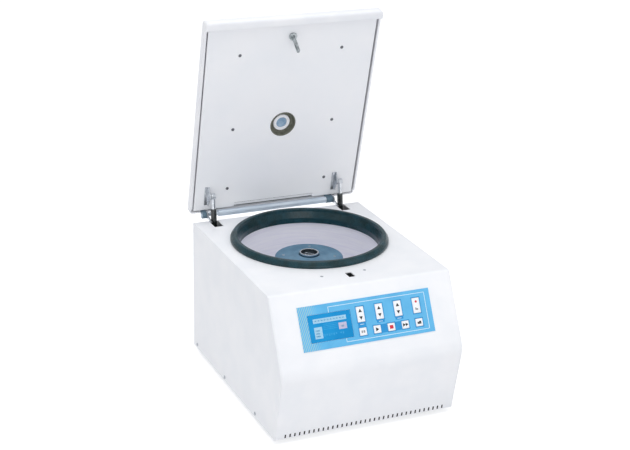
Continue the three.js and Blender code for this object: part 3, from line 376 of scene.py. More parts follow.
# ---------------------------------------------------------------------------
# Circuit boards. Green fibreglass boards carry the motor drive, its finned
# sink and, behind the keypad, the display's module. They stand on pillars.
# ---------------------------------------------------------------------------
board_green = finish("board_green", tone(46, 112, 74), tone(30, 84, 54), 4, (0.35, 0.5), 1.2, 0.02)
coat_node("drive_board", board_green)
coat_node("control_board", board_green)


# ---------------------------------------------------------------------------
# Rear panel, fan and mains entry. The panel is punched with the fan's grille,
# and the black inlet with its rocker switch snaps in from outside.
# ---------------------------------------------------------------------------
def eased(name, node, width, steps=2, sharp=28):
    """A copy of a CAD solid with every hard edge eased by a small round."""
    source = frame["nodes"][node]
    form = bmesh.new()
    form.from_mesh(source.data)
    form.transform(source.matrix_world)
    clean = bpy.data.meshes.new("clean")
    bmesh.ops.remove_doubles(form, verts=form.verts, dist=2e-6)
    bmesh.ops.dissolve_limit(form, angle_limit=math.radians(0.6), verts=form.verts, edges=form.edges)
    corners = [v.co.copy() for v in form.verts]
    index = {v: i for i, v in enumerate(form.verts)}
    faces = [[index[v] for v in f.verts] for f in form.faces]
    form.free()
    clean.from_pydata(corners, [], faces)
    form = bmesh.new()
    form.from_mesh(clean)
    bpy.data.meshes.remove(clean)
    piece = made_piece(name, form, sharp)
    ease = piece.modifiers.new("ease", "BEVEL")
    ease.width = width * MM
    ease.segments = steps
    ease.limit_method = "ANGLE"
    ease.angle_limit = math.radians(sharp)
    ease.harden_normals = True
    ease.use_clamp_overlap = True
    return piece


white_paint = finish(
    "white_paint", tone(249, 249, 251), tone(244, 245, 248), 55, (0.3, 0.38), 1.6, 0.012, coat=0.15
)
rear_panel = eased("rear_panel_painted", "rear_panel", 0.35)
fit(rear_panel, white_paint, stands_for="rear_panel")
black_moulding = finish(
    "black_moulding", tone(44, 45, 48), tone(32, 33, 36), 5, (0.45, 0.6), 0.5, 0.015
)
for node, body in (
    ("fan_frame", "cabinet"), ("fan_rotor", "fan_rotor_body"), ("power_entry", "cabinet")
):
    fit(eased(node + "_moulded", node, 0.4), black_moulding, body, stands_for=node)
rocker_red = finish(
    "rocker_red", tone(172, 34, 34), tone(150, 24, 26), 4, (0.25, 0.36), 0.5, 0.006, coat=0.3
)
fit(
    eased("power_rocker_moulded", "power_rocker", 0.5), rocker_red, "power_rocker_body",
    stands_for="power_rocker"
)

# ---------------------------------------------------------------------------
# Casing. The front, slope and top are one bent steel sheet between two side
# panels. All are powder coated white, with softened cut edges.
# ---------------------------------------------------------------------------
cover = eased("front_cover_painted", "front_cover", 0.45)
fit(cover, white_paint, stands_for="front_cover")
for side in ("left", "right"):
    panel = eased(f"side_panel_{side}_painted", "side_panel_" + side, 0.5)
    fit(panel, white_paint, stands_for="side_panel_" + side)

# A black filler sits in the vents from behind and fills each slot to just under the sheet's face: painted shade for the
# dark inside of each slot.
cover_node = frame["nodes"]["front_cover"]
fronts = [f for f in cover_node.data.polygons if (cover_node.matrix_world @ f.center).z < 60 * MM and f.normal.y < -0.9]
toe_face = max(fronts, key=lambda f: f.area)
toe_point = cover_node.matrix_world @ toe_face.center
toe_out = (cover_node.matrix_world.to_3x3() @ toe_face.normal).normalized()
toe_up = Vector((0, -toe_out.z, toe_out.y)) * (-1 if toe_out.y < 0 else 1)
vent_count, vent_pitch, vent_wide, vent_tall, vent_sill = 35, 9.6, 2.9, 7.9, 11.55
vent_painted_shade = finish(
    "vent_painted_shade", tone(44, 41, 38), tone(30, 28, 26), 3, (0.8, 0.95), 0.7, 0.02, specular=0.2
)
form = bmesh.new()
for i in range(vent_count):
    x = (i - (vent_count - 1) / 2) * vent_pitch
    ring = []
    for across, rise in (
        (x - vent_wide / 2, 0), (x + vent_wide / 2, 0), (x + vent_wide / 2, vent_tall),
        (x - vent_wide / 2, vent_tall)
    ):
        z = (vent_sill + rise) * MM
        point = toe_point + toe_up * ((z - toe_point.z) / toe_up.z)
        ring.append(form.verts.new(Vector((across * MM, point.y, z)) - toe_out * 0.45 * MM))
    face = form.faces.new(ring)
    raised = bmesh.ops.extrude_face_region(form, geom=[face])
    bmesh.ops.translate(
        form, verts=[v for v in raised["geom"] if isinstance(v, bmesh.types.BMVert)],
        vec=-toe_out * 1.0 * MM
    )
bmesh.ops.recalc_face_normals(form, faces=form.faces)
fit(made_piece("vent_shade_filler", form), vent_painted_shade)

# ---------------------------------------------------------------------------
# Side screws. Plated pan-head screws with a cross recess, three on each side,
# pull the side panels against the base pan's turned-up edges.
# ---------------------------------------------------------------------------
screw_steel = finish(
    "screw_steel", tone(196, 199, 204), tone(170, 174, 180), 1.5, (0.25, 0.4), 0.3, 0.006,
    metallic=1.0
)


def cross_recess(piece, centre, outward, size, depth):
    """Cuts a cross recess into a screw's head."""
    cutter_form = bmesh.new()
    facing = Vector(outward).to_track_quat("Z", "X").to_matrix().to_4x4()
    for turn in (0, math.pi / 2):
        bmesh.ops.create_cube(
            cutter_form,
            size=1,
            matrix=Matrix.Translation(centre) @ facing @ Matrix.Rotation(
                turn, 4, "Z"
            ) @ Matrix.Diagonal((size * MM, size * 0.24 * MM, 2 * depth * MM, 1)),
        )
    cutter = made_piece("cutter", cutter_form)
    cut = piece.modifiers.new("recess", "BOOLEAN")
    cut.object = cutter
    cut.solver = "EXACT"
    cut.use_self = True
    depsgraph = bpy.context.evaluated_depsgraph_get()
    result = bpy.data.meshes.new_from_object(piece.evaluated_get(depsgraph))
    piece.modifiers.clear()
    piece.data = result
    bpy.data.objects.remove(cutter)
    result.polygons.foreach_set("use_smooth", [True] * len(result.polygons))
    result.set_sharp_from_angle(angle=math.radians(35))


for side, sign in (("left", -1), ("right", 1)):
    for number in (1, 2, 3):
        node = f"side_screw_{side}_{number}"
        low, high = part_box(node)
        seat_x = (high[0] if sign > 0 else low[0]) - sign * 1.6 * MM
        centre = Vector((seat_x, (low[1] + high[1]) / 2, (low[2] + high[2]) / 2))
        head = softened(
            [(1.9, -7), (1.9, 0), (3.6, 0, 0.3), (3.6, 1.0, 0.6), (2.2, 1.55, 1.5), (0, 1.6)], 5
        )
        screw = turned(
            node + "_plated", [(0, -7)] + head, centre, axis="X" if sign > 0 else "-X", steps=40,
            closed=False
        )
        cross_recess(screw, centre + Vector((sign * 1.6 * MM, 0, 0)), (sign, 0, 0), 3.4, 0.9)
        fit(screw, screw_steel, stands_for=node)

# ---------------------------------------------------------------------------
# Keypad overlay. A printed polyester film lies on the slope: sky blue, with a
# fine white frame line, a hatched left end and darker blue patches.
# ---------------------------------------------------------------------------
slope_low, slope_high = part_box("keypad_overlay")
slope_run, slope_rise = slope_high[1] - slope_low[1], slope_high[2] - slope_low[2]
film = 0.6 * MM
# The film's box is as tall and deep as the film's length and thickness make it,
# so the slope's angle is found by a few steps.
lean = math.atan2(slope_rise, slope_run)
for _ in range(20):
    lean = math.atan2(slope_rise - film * math.cos(lean), slope_run - film * math.sin(lean))
up_slope = Vector((0, math.cos(lean), math.sin(lean)))
off_slope = Vector((0, -math.sin(lean), math.cos(lean)))
slope_origin = Vector((0, slope_high[1], slope_high[2] - film * math.cos(lean))) + up_slope * 28 * MM
slope_frame = Matrix((Vector((1, 0, 0)), up_slope, off_slope)).transposed().to_4x4()
slope_frame.translation = slope_origin


def on_slope(across, down, out):
    """A point on the slope: across from the middle, down from the brow and out from the film's underside, in mm."""
    return slope_frame @ Vector((across * MM, -down * MM, out * MM))


def slope_plate(name, outline, low_out, high_out, ease=0.0, steps=2):
    """A flat plate on the slope from an outline of (across, down) points, with its top edge eased."""
    form = bmesh.new()
    ring = [form.verts.new(on_slope(a, d, low_out)) for a, d in outline]
    face = form.faces.new(ring)
    raised = bmesh.ops.extrude_face_region(form, geom=[face])
    lift = (high_out - low_out) * MM * off_slope
    top = [v for v in raised["geom"] if isinstance(v, bmesh.types.BMVert)]
    bmesh.ops.translate(form, verts=top, vec=lift)
    if ease:
        tops = set(top)
        rim = [e for e in form.edges if e.verts[0] in tops and e.verts[1] in tops]
        bmesh.ops.bevel(form, geom=rim, offset=ease * MM, segments=steps, profile=0.5, affect="EDGES")
    bmesh.ops.recalc_face_normals(form, faces=form.faces)
    return made_piece(name, form)


def rectangle(left, right, top, bottom, radius=0.0, steps=5):
    """An outline of a rectangle with round corners."""
    if not radius:
        return [(left, top), (right, top), (right, bottom), (left, bottom)]
    points = []
    for cx, cy, start in (
        (right - radius, top + radius, -90), (right - radius, bottom - radius, 0),
        (left + radius, bottom - radius, 90), (left + radius, top + radius, 180)
    ):
        for k in range(steps + 1):
            turn = math.radians(start + 90 * k / steps)
            points.append((cx + radius * math.cos(turn), cy + radius * math.sin(turn)))
    return points


def printed_film(name, ground, hatch):
    """The film's ink: a flat ground with fine slanting lines that fade out from its left end."""
    made = finish(name, ground[0], ground[1], 30, (0.3, 0.4), 0.7, 0.006, coat=0.25)
    nodes, links = made.node_tree.nodes, made.node_tree.links
    surface = nodes["Principled BSDF"]
    base = next(n for n in nodes if n.type == "VALTORGB")
    place = nodes.new("ShaderNodeTexCoord")
    parts = nodes.new("ShaderNodeSeparateXYZ")
    links.new(place.outputs["Object"], parts.inputs["Vector"])
    climb = nodes.new("ShaderNodeMath")
    climb.operation = "MULTIPLY_ADD"
    climb.inputs[1].default_value = -0.62 / math.sin(lean)
    links.new(parts.outputs["Z"], climb.inputs[0])
    links.new(parts.outputs["X"], climb.inputs[2])
    lines = nodes.new("ShaderNodeMath")
    lines.operation = "MULTIPLY"
    lines.inputs[1].default_value = 2 * math.pi / (4.6 * MM)
    links.new(climb.outputs[0], lines.inputs[0])
    wave = nodes.new("ShaderNodeMath")
    wave.operation = "SINE"
    links.new(lines.outputs[0], wave.inputs[0])
    ridge = nodes.new("ShaderNodeMapRange")
    ridge.inputs["From Min"].default_value = 0.1
    ridge.inputs["From Max"].default_value = 0.7
    links.new(wave.outputs[0], ridge.inputs["Value"])
    fade = nodes.new("ShaderNodeMapRange")
    fade.inputs["From Min"].default_value = -96 * MM
    fade.inputs["From Max"].default_value = -112 * MM
    links.new(parts.outputs["X"], fade.inputs["Value"])
    amount = nodes.new("ShaderNodeMath")
    amount.operation = "MULTIPLY"
    links.new(ridge.outputs["Result"], amount.inputs[0])
    links.new(fade.outputs["Result"], amount.inputs[1])
    ink = nodes.new("ShaderNodeMix")
    ink.data_type = "RGBA"
    ink.inputs["B"].default_value = hatch
    links.new(amount.outputs[0], ink.inputs["Factor"])
    links.new(base.outputs["Color"], ink.inputs["A"])
    links.new(ink.outputs["Result"], surface.inputs["Base Color"])
    return made


film_ink = printed_film("film_ink", (tone(98, 188, 236), tone(88, 180, 230)), tone(166, 206, 214))
overlay = eased("keypad_overlay_printed", "keypad_overlay", 0.12, 1)
fit(overlay, film_ink, stands_for="keypad_overlay")

ink_top = film / MM + 0.05
white_ink = finish("white_ink", tone(226, 244, 252), tone(212, 238, 250), 8, (0.35, 0.45), 0.5, 0.004)
frame_left, frame_right, frame_top, frame_bottom, frame_line = -74.0, 123.5, 34.2, 103.6, 1.0
frame_bars = {
    "top": (frame_left, frame_right, frame_top, frame_top + frame_line),
    "right": (frame_right - frame_line, frame_right, frame_top, frame_bottom),
    "bottom": (-47.5, frame_right, frame_bottom - frame_line, frame_bottom),
    "left_upper": (frame_left, frame_left + frame_line, frame_top, 45.0),
    "left_lower": (-47.5, -47.5 + frame_line, 96.4, frame_bottom),
}
for where, (left, right, top, bottom) in frame_bars.items():
    bar = slope_plate(
        "printed_frame_" + where, rectangle(left, right, top, bottom), film / MM - 0.01, ink_top
    )
    fit(bar, white_ink)

deep_ink = finish(
    "deep_ink", tone(30, 152, 217), tone(22, 142, 208), 10, (0.3, 0.4), 0.6, 0.005, coat=0.2
)

tall_keys = ["speed_key", "time_key", "temperature_key", "lamp_key"]
square_keys = ["light_key", "start_key", "stop_key", "short_run_key", "lid_key"]
tall_across = [-11.6, 26.7, 65.0, 103.3]
square_across = [-11.9, 17.0, 45.9, 74.8, 103.7]
tall_down, square_down = 57.3, 89.4
tall_size, square_size = (14.7, 28.4), (14.2, 14.2)


def ring_plate(name, left, right, top, bottom, hole, low_out, high_out):
    """A flat printed patch with a rectangular hole in it, made of four strips."""
    a, b, c, d = hole
    strips = [(left, right, top, c), (left, right, d, bottom), (left, a, c, d), (b, right, c, d)]
    form = bmesh.new()
    for l, r, t, m in strips:
        if r - l < 0.05 or m - t < 0.05:
            continue
        ring = [form.verts.new(on_slope(x, y, low_out)) for x, y in rectangle(l, r, t, m)]
        face = form.faces.new(ring)
        raised = bmesh.ops.extrude_face_region(form, geom=[face])
        bmesh.ops.translate(
            form, verts=[v for v in raised["geom"] if isinstance(v, bmesh.types.BMVert)],
            vec=(high_out - low_out) * MM * off_slope
        )
    bmesh.ops.recalc_face_normals(form, faces=form.faces)
    return made_piece(name, form)


key_rooms = [(x, tall_down, *tall_size) for x in tall_across] + [(x, square_down, *square_size) for x in square_across]
for (x, y, w, h), node in zip(key_rooms, tall_keys + square_keys):
    gap, rim = 0.36, 1.5
    hole = (x - w / 2 - gap, x + w / 2 + gap, y - h / 2 - gap, y + h / 2 + gap)
    edge = (hole[0] - rim, hole[1] + rim, hole[2] - rim, hole[3] + rim)
    shade_ring = ring_plate("printed_shadow_" + node, *edge, hole, film / MM - 0.01, ink_top + 0.02)
    fit(shade_ring, deep_ink)
patches = {
    "speed": (-19.6, -3.6, 73.4, 80.4),
    "time": (18.6, 34.8, 73.4, 77.8),
    "temperature": (56.9, 73.1, 73.4, 77.8),
    "run_left": (26.0, 36.9, 81.4, 97.4),
    "run_right": (54.9, 65.8, 81.4, 97.4),
}
for where, (left, right, top, bottom) in patches.items():
    patch = slope_plate(
        "printed_patch_" + where, rectangle(left, right, top, bottom), film / MM - 0.01, ink_top
    )
    fit(patch, deep_ink)
for where, left, right, top in (
    ("speed", -15.4, -7.6, 75.4), ("time", 22.6, 30.6, 75.2), ("temperature", 61.0, 69.0, 75.2)
):
    mark = slope_plate(
        "printed_bar_" + where, rectangle(left, right, top, top + 0.9), ink_top - 0.01,
        ink_top + 0.04
    )
    fit(mark, white_ink)

# ---------------------------------------------------------------------------
# Display. A clear pane over a blue graphic module. What it shows is a plain
# test picture of bars and blocks, lit from behind.
# ---------------------------------------------------------------------------
pane_left, pane_right, pane_top, pane_bottom = -116.4, -31.4, 45.3, 95.9
pane_blue = finish(
    "pane_blue", tone(28, 152, 214), tone(22, 142, 206), 40, (0.4, 0.5), 1.0, 0.002, specular=0.15
)
pane = slope_plate(
    "display_pane", rectangle(pane_left, pane_right, pane_top, pane_bottom), 0, film / MM, ease=0.15
)
fit(pane, pane_blue, stands_for="display_window")
dot_light = finish("dot_light", tone(176, 218, 240), tone(150, 204, 234), 1.4, (0.2, 0.3), 0.6, 0.002)
dot_mid = finish("dot_mid", tone(64, 172, 226), tone(48, 160, 218), 2, (0.2, 0.3), 0.6, 0.002)
dot_warm = finish("dot_warm", tone(206, 200, 222), tone(186, 186, 216), 1.2, (0.2, 0.3), 0.6, 0.002)


def shown(name, left, right, top, bottom, material):
    block = slope_plate(name, rectangle(left, right, top, bottom), film / MM - 0.01, film / MM + 0.03)
    fit(block, material)


shown("shown_top_bar", -107, -41, 53.2, 61.4, dot_light)
for i in range(10):
    shown(f"shown_top_dash_{i}", -103.5 + i * 6.1, -100.4 + i * 6.1, 56.2, 58.2, dot_mid)
shown("shown_side_block", -107, -91.5, 68.5, 89.5, dot_light)
for i in range(3):
    shown(f"shown_side_dash_{i}", -104.4, -96.4, 74.2 + i * 5, 76.2 + i * 5, dot_mid)
shown("shown_warm_block", -58, -42, 66.0, 78.0, dot_warm)
shown("shown_warm_dash", -53.4, -47.4, 71.2, 74.4, dot_light)
for i in range(4):
    shown(f"shown_rule_{i}", -88.5, -60.5, 64.4 + i * 3.1, 65.2 + i * 3.1, dot_mid)
for i in range(9):
    if i != 6:
        shown(
            f"shown_foot_dash_{i}", -89 + i * 4.6, -86.6 + i * 4.6, 82.6, 87.0 - 1.5 * (i % 2),
            dot_mid
        )

# ---------------------------------------------------------------------------
# Keys. White moulded caps with a low crown, each on a stem down to its switch.
# Their plain signs are printed: up and down, run, stop, short run, lid.
# ---------------------------------------------------------------------------
key_white = finish(
    "key_white", tone(250, 250, 252), tone(243, 245, 248), 5, (0.28, 0.38), 0.5, 0.006, coat=0.2
)
sign_black = finish("sign_black", tone(40, 46, 52), tone(26, 30, 36), 2, (0.35, 0.5), 0.4, 0.003)
sign_red = finish("sign_red", tone(220, 44, 66), tone(206, 34, 56), 2, (0.3, 0.42), 0.4, 0.003)
sign_grey = finish("sign_grey", tone(150, 152, 158), tone(132, 134, 142), 2, (0.35, 0.5), 0.4, 0.003)
cap_top = film / MM + 0.7


def key_sign(name, outline, material, body, sink=0.03):
    sign = slope_plate(name, outline, cap_top - sink, cap_top + 0.04)
    fit(sign, material, body)


def arrow(x, y, half, direction):
    if direction in ("up", "down"):
        s = -1 if direction == "up" else 1
        return [
            (x - half, y - s * half * 0.8), (x + half, y - s * half * 0.8), (x, y + s * half * 0.95)
        ]
    return [(x - half * 0.8, y - half), (x + half * 0.9, y), (x - half * 0.8, y + half)]


def round_dot(x, y, radius, steps=20):
    return [(x + radius * math.cos(2 * math.pi * k / steps), y + radius * math.sin(2 * math.pi * k / steps)) for k in range(steps)]


for (x, y, w, h), node in zip(key_rooms, tall_keys + square_keys):
    body = node + "_body"
    cap = slope_plate(
        node + "_cap", rectangle(x - w / 2, x + w / 2, y - h / 2, y + h / 2, 1.2), -2.3, cap_top,
        ease=0.45, steps=3
    )
    stem = slope_plate(node + "_stem", rectangle(x - 3, x + 3, y - 3, y + 3, 0.5), -7.0, -2.3)
    fit(cap, key_white, body, stands_for=node)
    fit(stem, key_white, body)
    if node in tall_keys[:3]:
        key_sign(node + "_sign_up", arrow(x, y - 6.7, 3.6, "up"), sign_black, body)
        key_sign(node + "_sign_down", arrow(x, y + 6.7, 3.6, "down"), sign_black, body)
    elif node == "lamp_key":
        key_sign(node + "_sign_dot", round_dot(x + 0.3, y - 7.2, 2.3), sign_red, body)
        key_sign(
            node + "_sign_flag",
            [(x - 3.0, y + 3.6), (x + 2.6, y + 6.4), (x + 2.6, y + 8.6), (x - 3.0, y + 8.6)],
            sign_grey, body
        )
        key_sign(
            node + "_sign_flag_white",
            [(x - 2.0, y + 5.3), (x + 1.6, y + 7.0), (x + 1.6, y + 7.8), (x - 2.0, y + 7.8)],
            key_white, body, sink=-0.02
        )
    elif node == "light_key":
        key_sign(node + "_sign_left", rectangle(x - 3.6, x - 0.8, y - 2.2, y + 2.4), sign_grey, body)
        key_sign(node + "_sign_right", rectangle(x + 0.4, x + 3.6, y - 2.2, y + 2.4), sign_grey, body)
    elif node == "start_key":
        key_sign(node + "_sign", arrow(x, y, 3.9, "right"), sign_black, body)
    elif node == "stop_key":
        key_sign(node + "_sign", rectangle(x - 3.7, x + 3.7, y - 3.4, y + 3.4), sign_red, body)
    elif node == "short_run_key":
        key_sign(node + "_sign_first", arrow(x - 2.6, y, 3.4, "right"), sign_black, body)
        key_sign(node + "_sign_second", arrow(x + 3.0, y, 3.4, "right"), sign_black, body)
    else:
        key_sign(
            node + "_sign",
            [
                (x - 4, y - 1.2), (x - 0.6, y - 1.2), (x + 0.4, y - 2.6), (x + 3.9, y - 2.6),
                (x + 3.9, y + 2.8), (x - 4, y + 2.8)
            ],
            sign_black, body
        )
        key_sign(
            node + "_sign_line", rectangle(x - 2.8, x + 2.8, y + 0.3, y + 0.9), key_white, body,
            sink=-0.02
        )

# ---------------------------------------------------------------------------
# Lid lock and small rivets. The lock hangs under the top plate with its bolt
# beside the slot. Two flush rivets hold it, seen as small grey discs.
# ---------------------------------------------------------------------------
fit(eased("lock_housing_moulded", "lock_housing", 0.5), black_moulding, stands_for="lock_housing")
coat_node("lock_bolt", screw_steel)
cover_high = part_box("front_cover")[1]
rivet_grey = finish(
    "rivet_grey", tone(176, 180, 186), tone(158, 162, 170), 1.5, (0.4, 0.5), 0.4, 0.004,
    metallic=0.4
)
for label, x, y in (("left", -55.1, -134.0), ("right", 33.3, -133.2)):
    rivet = turned(
        "lock_rivet_" + label, softened([(0, -0.3), (3.0, -0.3), (3.0, 0.25, 0.2), (0, 0.3)], 3),
        Vector((x * MM, y * MM, cover_high[2])), steps=36, closed=False
    )
    fit(rivet, rivet_grey)

# ---------------------------------------------------------------------------
# Chamber gasket. A moulded rubber ring grips the edge of the top plate. Its
# lip seals against the lid, and its skirt hangs inside the bowl's mouth.
# ---------------------------------------------------------------------------
gasket_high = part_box("chamber_gasket")[1]
lip_outer, lip_inner, skirt_inner, skirt_outer, grip_radius = 157, 143, 138.4, 142.2, 149.8
plate_line = -12.4
gasket_profile = softened(
    [
        (skirt_outer, -30.0),
        (skirt_inner, -30.1, 1.2),
        (skirt_inner + 0.4, -19.0, 4),
        (lip_inner, -6.0, 5),
        (lip_inner + 0.4, 0, 2.4),
        (lip_inner + 8.4, 0, 4.0),
        (lip_outer - 0.2, -7.4, 3.4),
        (lip_outer, plate_line, 1.2),
        (grip_radius, plate_line),
        (grip_radius, -14.6),
        (skirt_outer, -14.6),
    ],
    10,
)
gasket = turned(
    "chamber_gasket_moulded", gasket_profile, chamber_axis + Vector((0, 0, gasket_high[2])),
    steps=224
)
gasket_rubber = finish(
    "gasket_rubber", tone(20, 60, 70), tone(12, 44, 48), 20, (0.24, 0.36), 0.9, 0.012, coat=0.06,
    specular=0.32
)
fit(gasket, gasket_rubber, stands_for="chamber_gasket")

# ---------------------------------------------------------------------------
# Drive boot and hub. The rubber boot is screwed over the bowl's cone and
# seals round the shaft. The polished hub carries the rotor on its keyed bore.
# ---------------------------------------------------------------------------
boot_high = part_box("drive_boot")[1]
boot_profile = softened(
    [
        (67.65, -20.8),
        (69.5, -20.8, 0.5),
        (67.6, -4.4, 3.2),
        (60.0, -4.2, 6),
        (32.0, -2.9, 4),
        (24.6, -1.2, 1.6),
        (20.4, -0.05, 0.8),
        (20.4, -12.4),
        (65.7, -12.4),
    ],
    8,
)
boot = turned(
    "drive_boot_moulded", boot_profile, chamber_axis + Vector((0, 0, boot_high[2])), steps=160
)
boot_rubber = finish(
    "boot_rubber", tone(98, 138, 164), tone(78, 118, 146), 24, (0.34, 0.5), 0.8, 0.02, coat=0.1,
    specular=0.55
)
fit(boot, boot_rubber, stands_for="drive_boot")
for k in range(4):
    turn = math.radians(-24 + 90 * k)
    place = chamber_axis + Vector((51 * MM * math.cos(turn), 51 * MM * math.sin(turn), boot_high[2] - 4.0 * MM))
    head = softened([(0, -1.6), (2.6, -1.6), (2.6, 0.5, 0.5), (1.4, 0.95, 1), (0, 1.0)], 4)
    screw = turned(f"boot_screw_{k + 1}", head, place, steps=28, closed=False)
    cross_recess(screw, place + Vector((0, 0, 1.0 * MM)), (0, 0, 1), 2.6, 0.6)
    fit(screw, screw_steel)

hub_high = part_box("drive_hub")[1]
hub_profile = softened(
    [
        (10.2, -13.4),
        (18.4, -13.4, 0.4),
        (18.4, -3.1, 0.2),
        (19.2, -3.1, 0.2),
        (19.2, 0, 0.5),
        (16.6, 0, 0.5),
        (16.2, -7.0, 0.4),
        (12, -7.6),
        (12, -8),
        (5.0, -8),
        (5.0, -9.3),
        (10.2, -9.3),
    ],
    5,
)
hub_finish = finish(
    "hub_finish", tone(222, 225, 229), tone(196, 201, 208), 4, (0.12, 0.24), 0.4, 0.003,
    metallic=1.0, stretch=(1, 1, 10)
)
hub = turned("drive_hub_turned", hub_profile, chamber_axis + Vector((0, 0, hub_high[2])), steps=128)
keyway_wide, keyway_long, keyway_tall, keyway_sink = 5, 31, 10, 3
key_cut = bmesh.new()
bmesh.ops.create_cube(
    key_cut,
    size=1,
    matrix=Matrix.Translation(chamber_axis + Vector((0, 0, hub_high[2] - keyway_sink * MM)))
    @ Matrix.Diagonal((keyway_wide * MM, keyway_long * MM, keyway_tall * MM, 1)),
)
key_cutter = made_piece("key_cutter", key_cut)
cut = hub.modifiers.new("keyway", "BOOLEAN")
cut.object = key_cutter
cut.solver = "EXACT"
hub.data = bpy.data.meshes.new_from_object(hub.evaluated_get(bpy.context.evaluated_depsgraph_get()))
hub.modifiers.clear()
bpy.data.objects.remove(key_cutter)
hub.data.polygons.foreach_set("use_smooth", [True] * len(hub.data.polygons))
hub.data.set_sharp_from_angle(angle=math.radians(35))
fit(hub, hub_finish, "rotor_drive", stands_for="drive_hub")
# A thin dark ring just inside the hub's bore wall is painted shade, darkening the bore below its top edge.
bore_painted_shade = finish(
    "bore_painted_shade", tone(74, 82, 88), tone(54, 62, 68), 4, (0.3, 0.42), 0.5, 0.004, metallic=0.8
)
bore_shade = turned(
    "drive_hub_bore_shade", softened([(15.7, -7.0), (15.7, -1.0, 0.3), (16.15, -1.0), (16.0, -7.0)], 3),
    chamber_axis + Vector((0, 0, hub_high[2])), steps=96
)
fit(bore_shade, bore_painted_shade, "rotor_drive")

# ---------------------------------------------------------------------------
# Hinge. Two plated arms rise through the slots and carry a stepped steel bar.
# The lid turns on the bar's thin ends in its two cast knuckles.
# ---------------------------------------------------------------------------
plated = finish(
    "plated", tone(216, 219, 223), tone(192, 197, 203), 6, (0.22, 0.36), 0.7, 0.006, metallic=1.0
)
for side in ("left", "right"):
    fit(
        eased(f"hinge_arm_{side}_plated", "hinge_arm_" + side, 0.4), plated,
        stands_for="hinge_arm_" + side
    )
bar_finish = finish(
    "bar_finish", tone(212, 222, 232), tone(186, 200, 214), 12, (0.34, 0.46), 0.8, 0.006,
    metallic=0.4, stretch=(0.2, 1, 1)
)
bar_low, bar_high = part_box("hinge_bar")
bar_centre = Vector((0, (bar_low[1] + bar_high[1]) / 2, (bar_low[2] + bar_high[2]) / 2))
thick_from, thick_to, thick, thin = -126.0, 116.3, 6.7, 4.0
bar_profile = softened(
    [
        (0, bar_low[0] / MM), (thin, bar_low[0] / MM, 0.6), (thin, thick_from),
        (thick, thick_from, 0.6), (thick, thick_to, 0.6), (thin, thick_to),
        (thin, bar_high[0] / MM, 0.6), (0, bar_high[0] / MM)
    ],
    4,
)
fit(
    turned("hinge_bar_turned", bar_profile, bar_centre, axis="X", steps=72, closed=False),
    bar_finish, stands_for="hinge_bar"
)
knuckle_paint = finish(
    "knuckle_paint", tone(110, 134, 150), tone(90, 114, 130), 6, (0.35, 0.5), 0.7, 0.02,
    metallic=0.4
)
for side in ("left", "right"):
    fit(
        eased(f"hinge_knuckle_{side}_cast", "hinge_knuckle_" + side, 0.6), knuckle_paint, "lid",
        stands_for="hinge_knuckle_" + side
    )

# ---------------------------------------------------------------------------
# Lid. A white moulded shell with rounded edges holds a flat steel inner panel
# on six screws. A dark tube in it leads to the small speed-check window.
# ---------------------------------------------------------------------------
lid_white = finish(
    "lid_white", tone(249, 249, 251), tone(243, 244, 248), 60, (0.3, 0.4), 1.4, 0.012, coat=0.15
)
fit(
    eased("lid_shell_moulded", "lid_shell", 0.7, 3), lid_white, "lid", stands_for="lid_shell",
)
lid_inner = finish(
    "lid_inner", tone(250, 250, 252), tone(246, 247, 250), 80, (0.38, 0.48), 1.5, 0.012, coat=0.08
)
fit(
    eased("lid_panel_painted", "lid_panel", 0.35), lid_inner, "lid", stands_for="lid_panel",
)

# A flat dark finish used only as painted shade in the notch's gaps.
notch_painted_shade = finish(
    "notch_painted_shade", tone(44, 46, 46), tone(30, 32, 33), 4, (0.7, 0.9), 0.6, 0.02, specular=0.3
)
lid_joint = next(j for j in frame["record"]["behaviour"]["joints"] if j["name"] == "lid_hinge")
lid_turn = math.radians(-lid_joint["range_deg"][1])
lid_frame = Matrix.Translation(lid_joint["pos_m"]) @ Matrix.Rotation(lid_turn, 4, "X")
lid_rise, lid_gap = 6.86, 7.5
into_chamber = (lid_frame.to_3x3() @ Vector((0, 0, -1))).normalized()


def on_lid(across, row, drop):
    """A point on the lid: across, down its inner panel from the hinge edge, and off that panel, in mm."""
    return lid_frame @ Vector((across * MM, -(lid_gap + row) * MM, (lid_rise - drop) * MM))


# Two dark strips behind the panel's notch are painted shade, standing for the shadowed gaps either side of the rail.
for label, row_from, row_to in (("lower", 0.7, 1.9), ("upper", 7.7, 9.0)):
    form = bmesh.new()
    ring = [
        form.verts.new(on_lid(a, r, -1.78)) for a,
        r in ((-88, row_from), (85, row_from), (85, row_to), (-88, row_to))
    ]
    face = form.faces.new(ring)
    raised = bmesh.ops.extrude_face_region(form, geom=[face])
    bmesh.ops.translate(
        form, verts=[v for v in raised["geom"] if isinstance(v, bmesh.types.BMVert)],
        vec=into_chamber * 0.3 * MM
    )
    bmesh.ops.recalc_face_normals(form, faces=form.faces)
    fit(made_piece("notch_shade_strip_" + label, form), notch_painted_shade, "lid")

screw_dark = finish(
    "screw_dark", tone(122, 124, 128), tone(98, 100, 106), 1.5, (0.3, 0.42), 0.3, 0.006,
    metallic=0.9
)
for row in (46.0, 184.6, 349.2):
    for side, across in (("left", -108), ("right", 108)):
        place = on_lid(across, row, 0)
        head = softened(
            [
                (0, -1.2), (1.6, -1.2), (1.6, 0.02), (3.3, 0.02, 0.2), (3.3, 0.7, 0.6),
                (1.6, 1.25, 1), (0, 1.3)
            ],
            4
        )
        screw = turned(
            f"lid_screw_{side}_{int(row)}", head, place, axis=into_chamber, steps=32, closed=False
        )
        cross_recess(screw, place + into_chamber * 1.3 * MM, into_chamber, 3.2, 0.8)
        fit(screw, screw_dark, "lid")

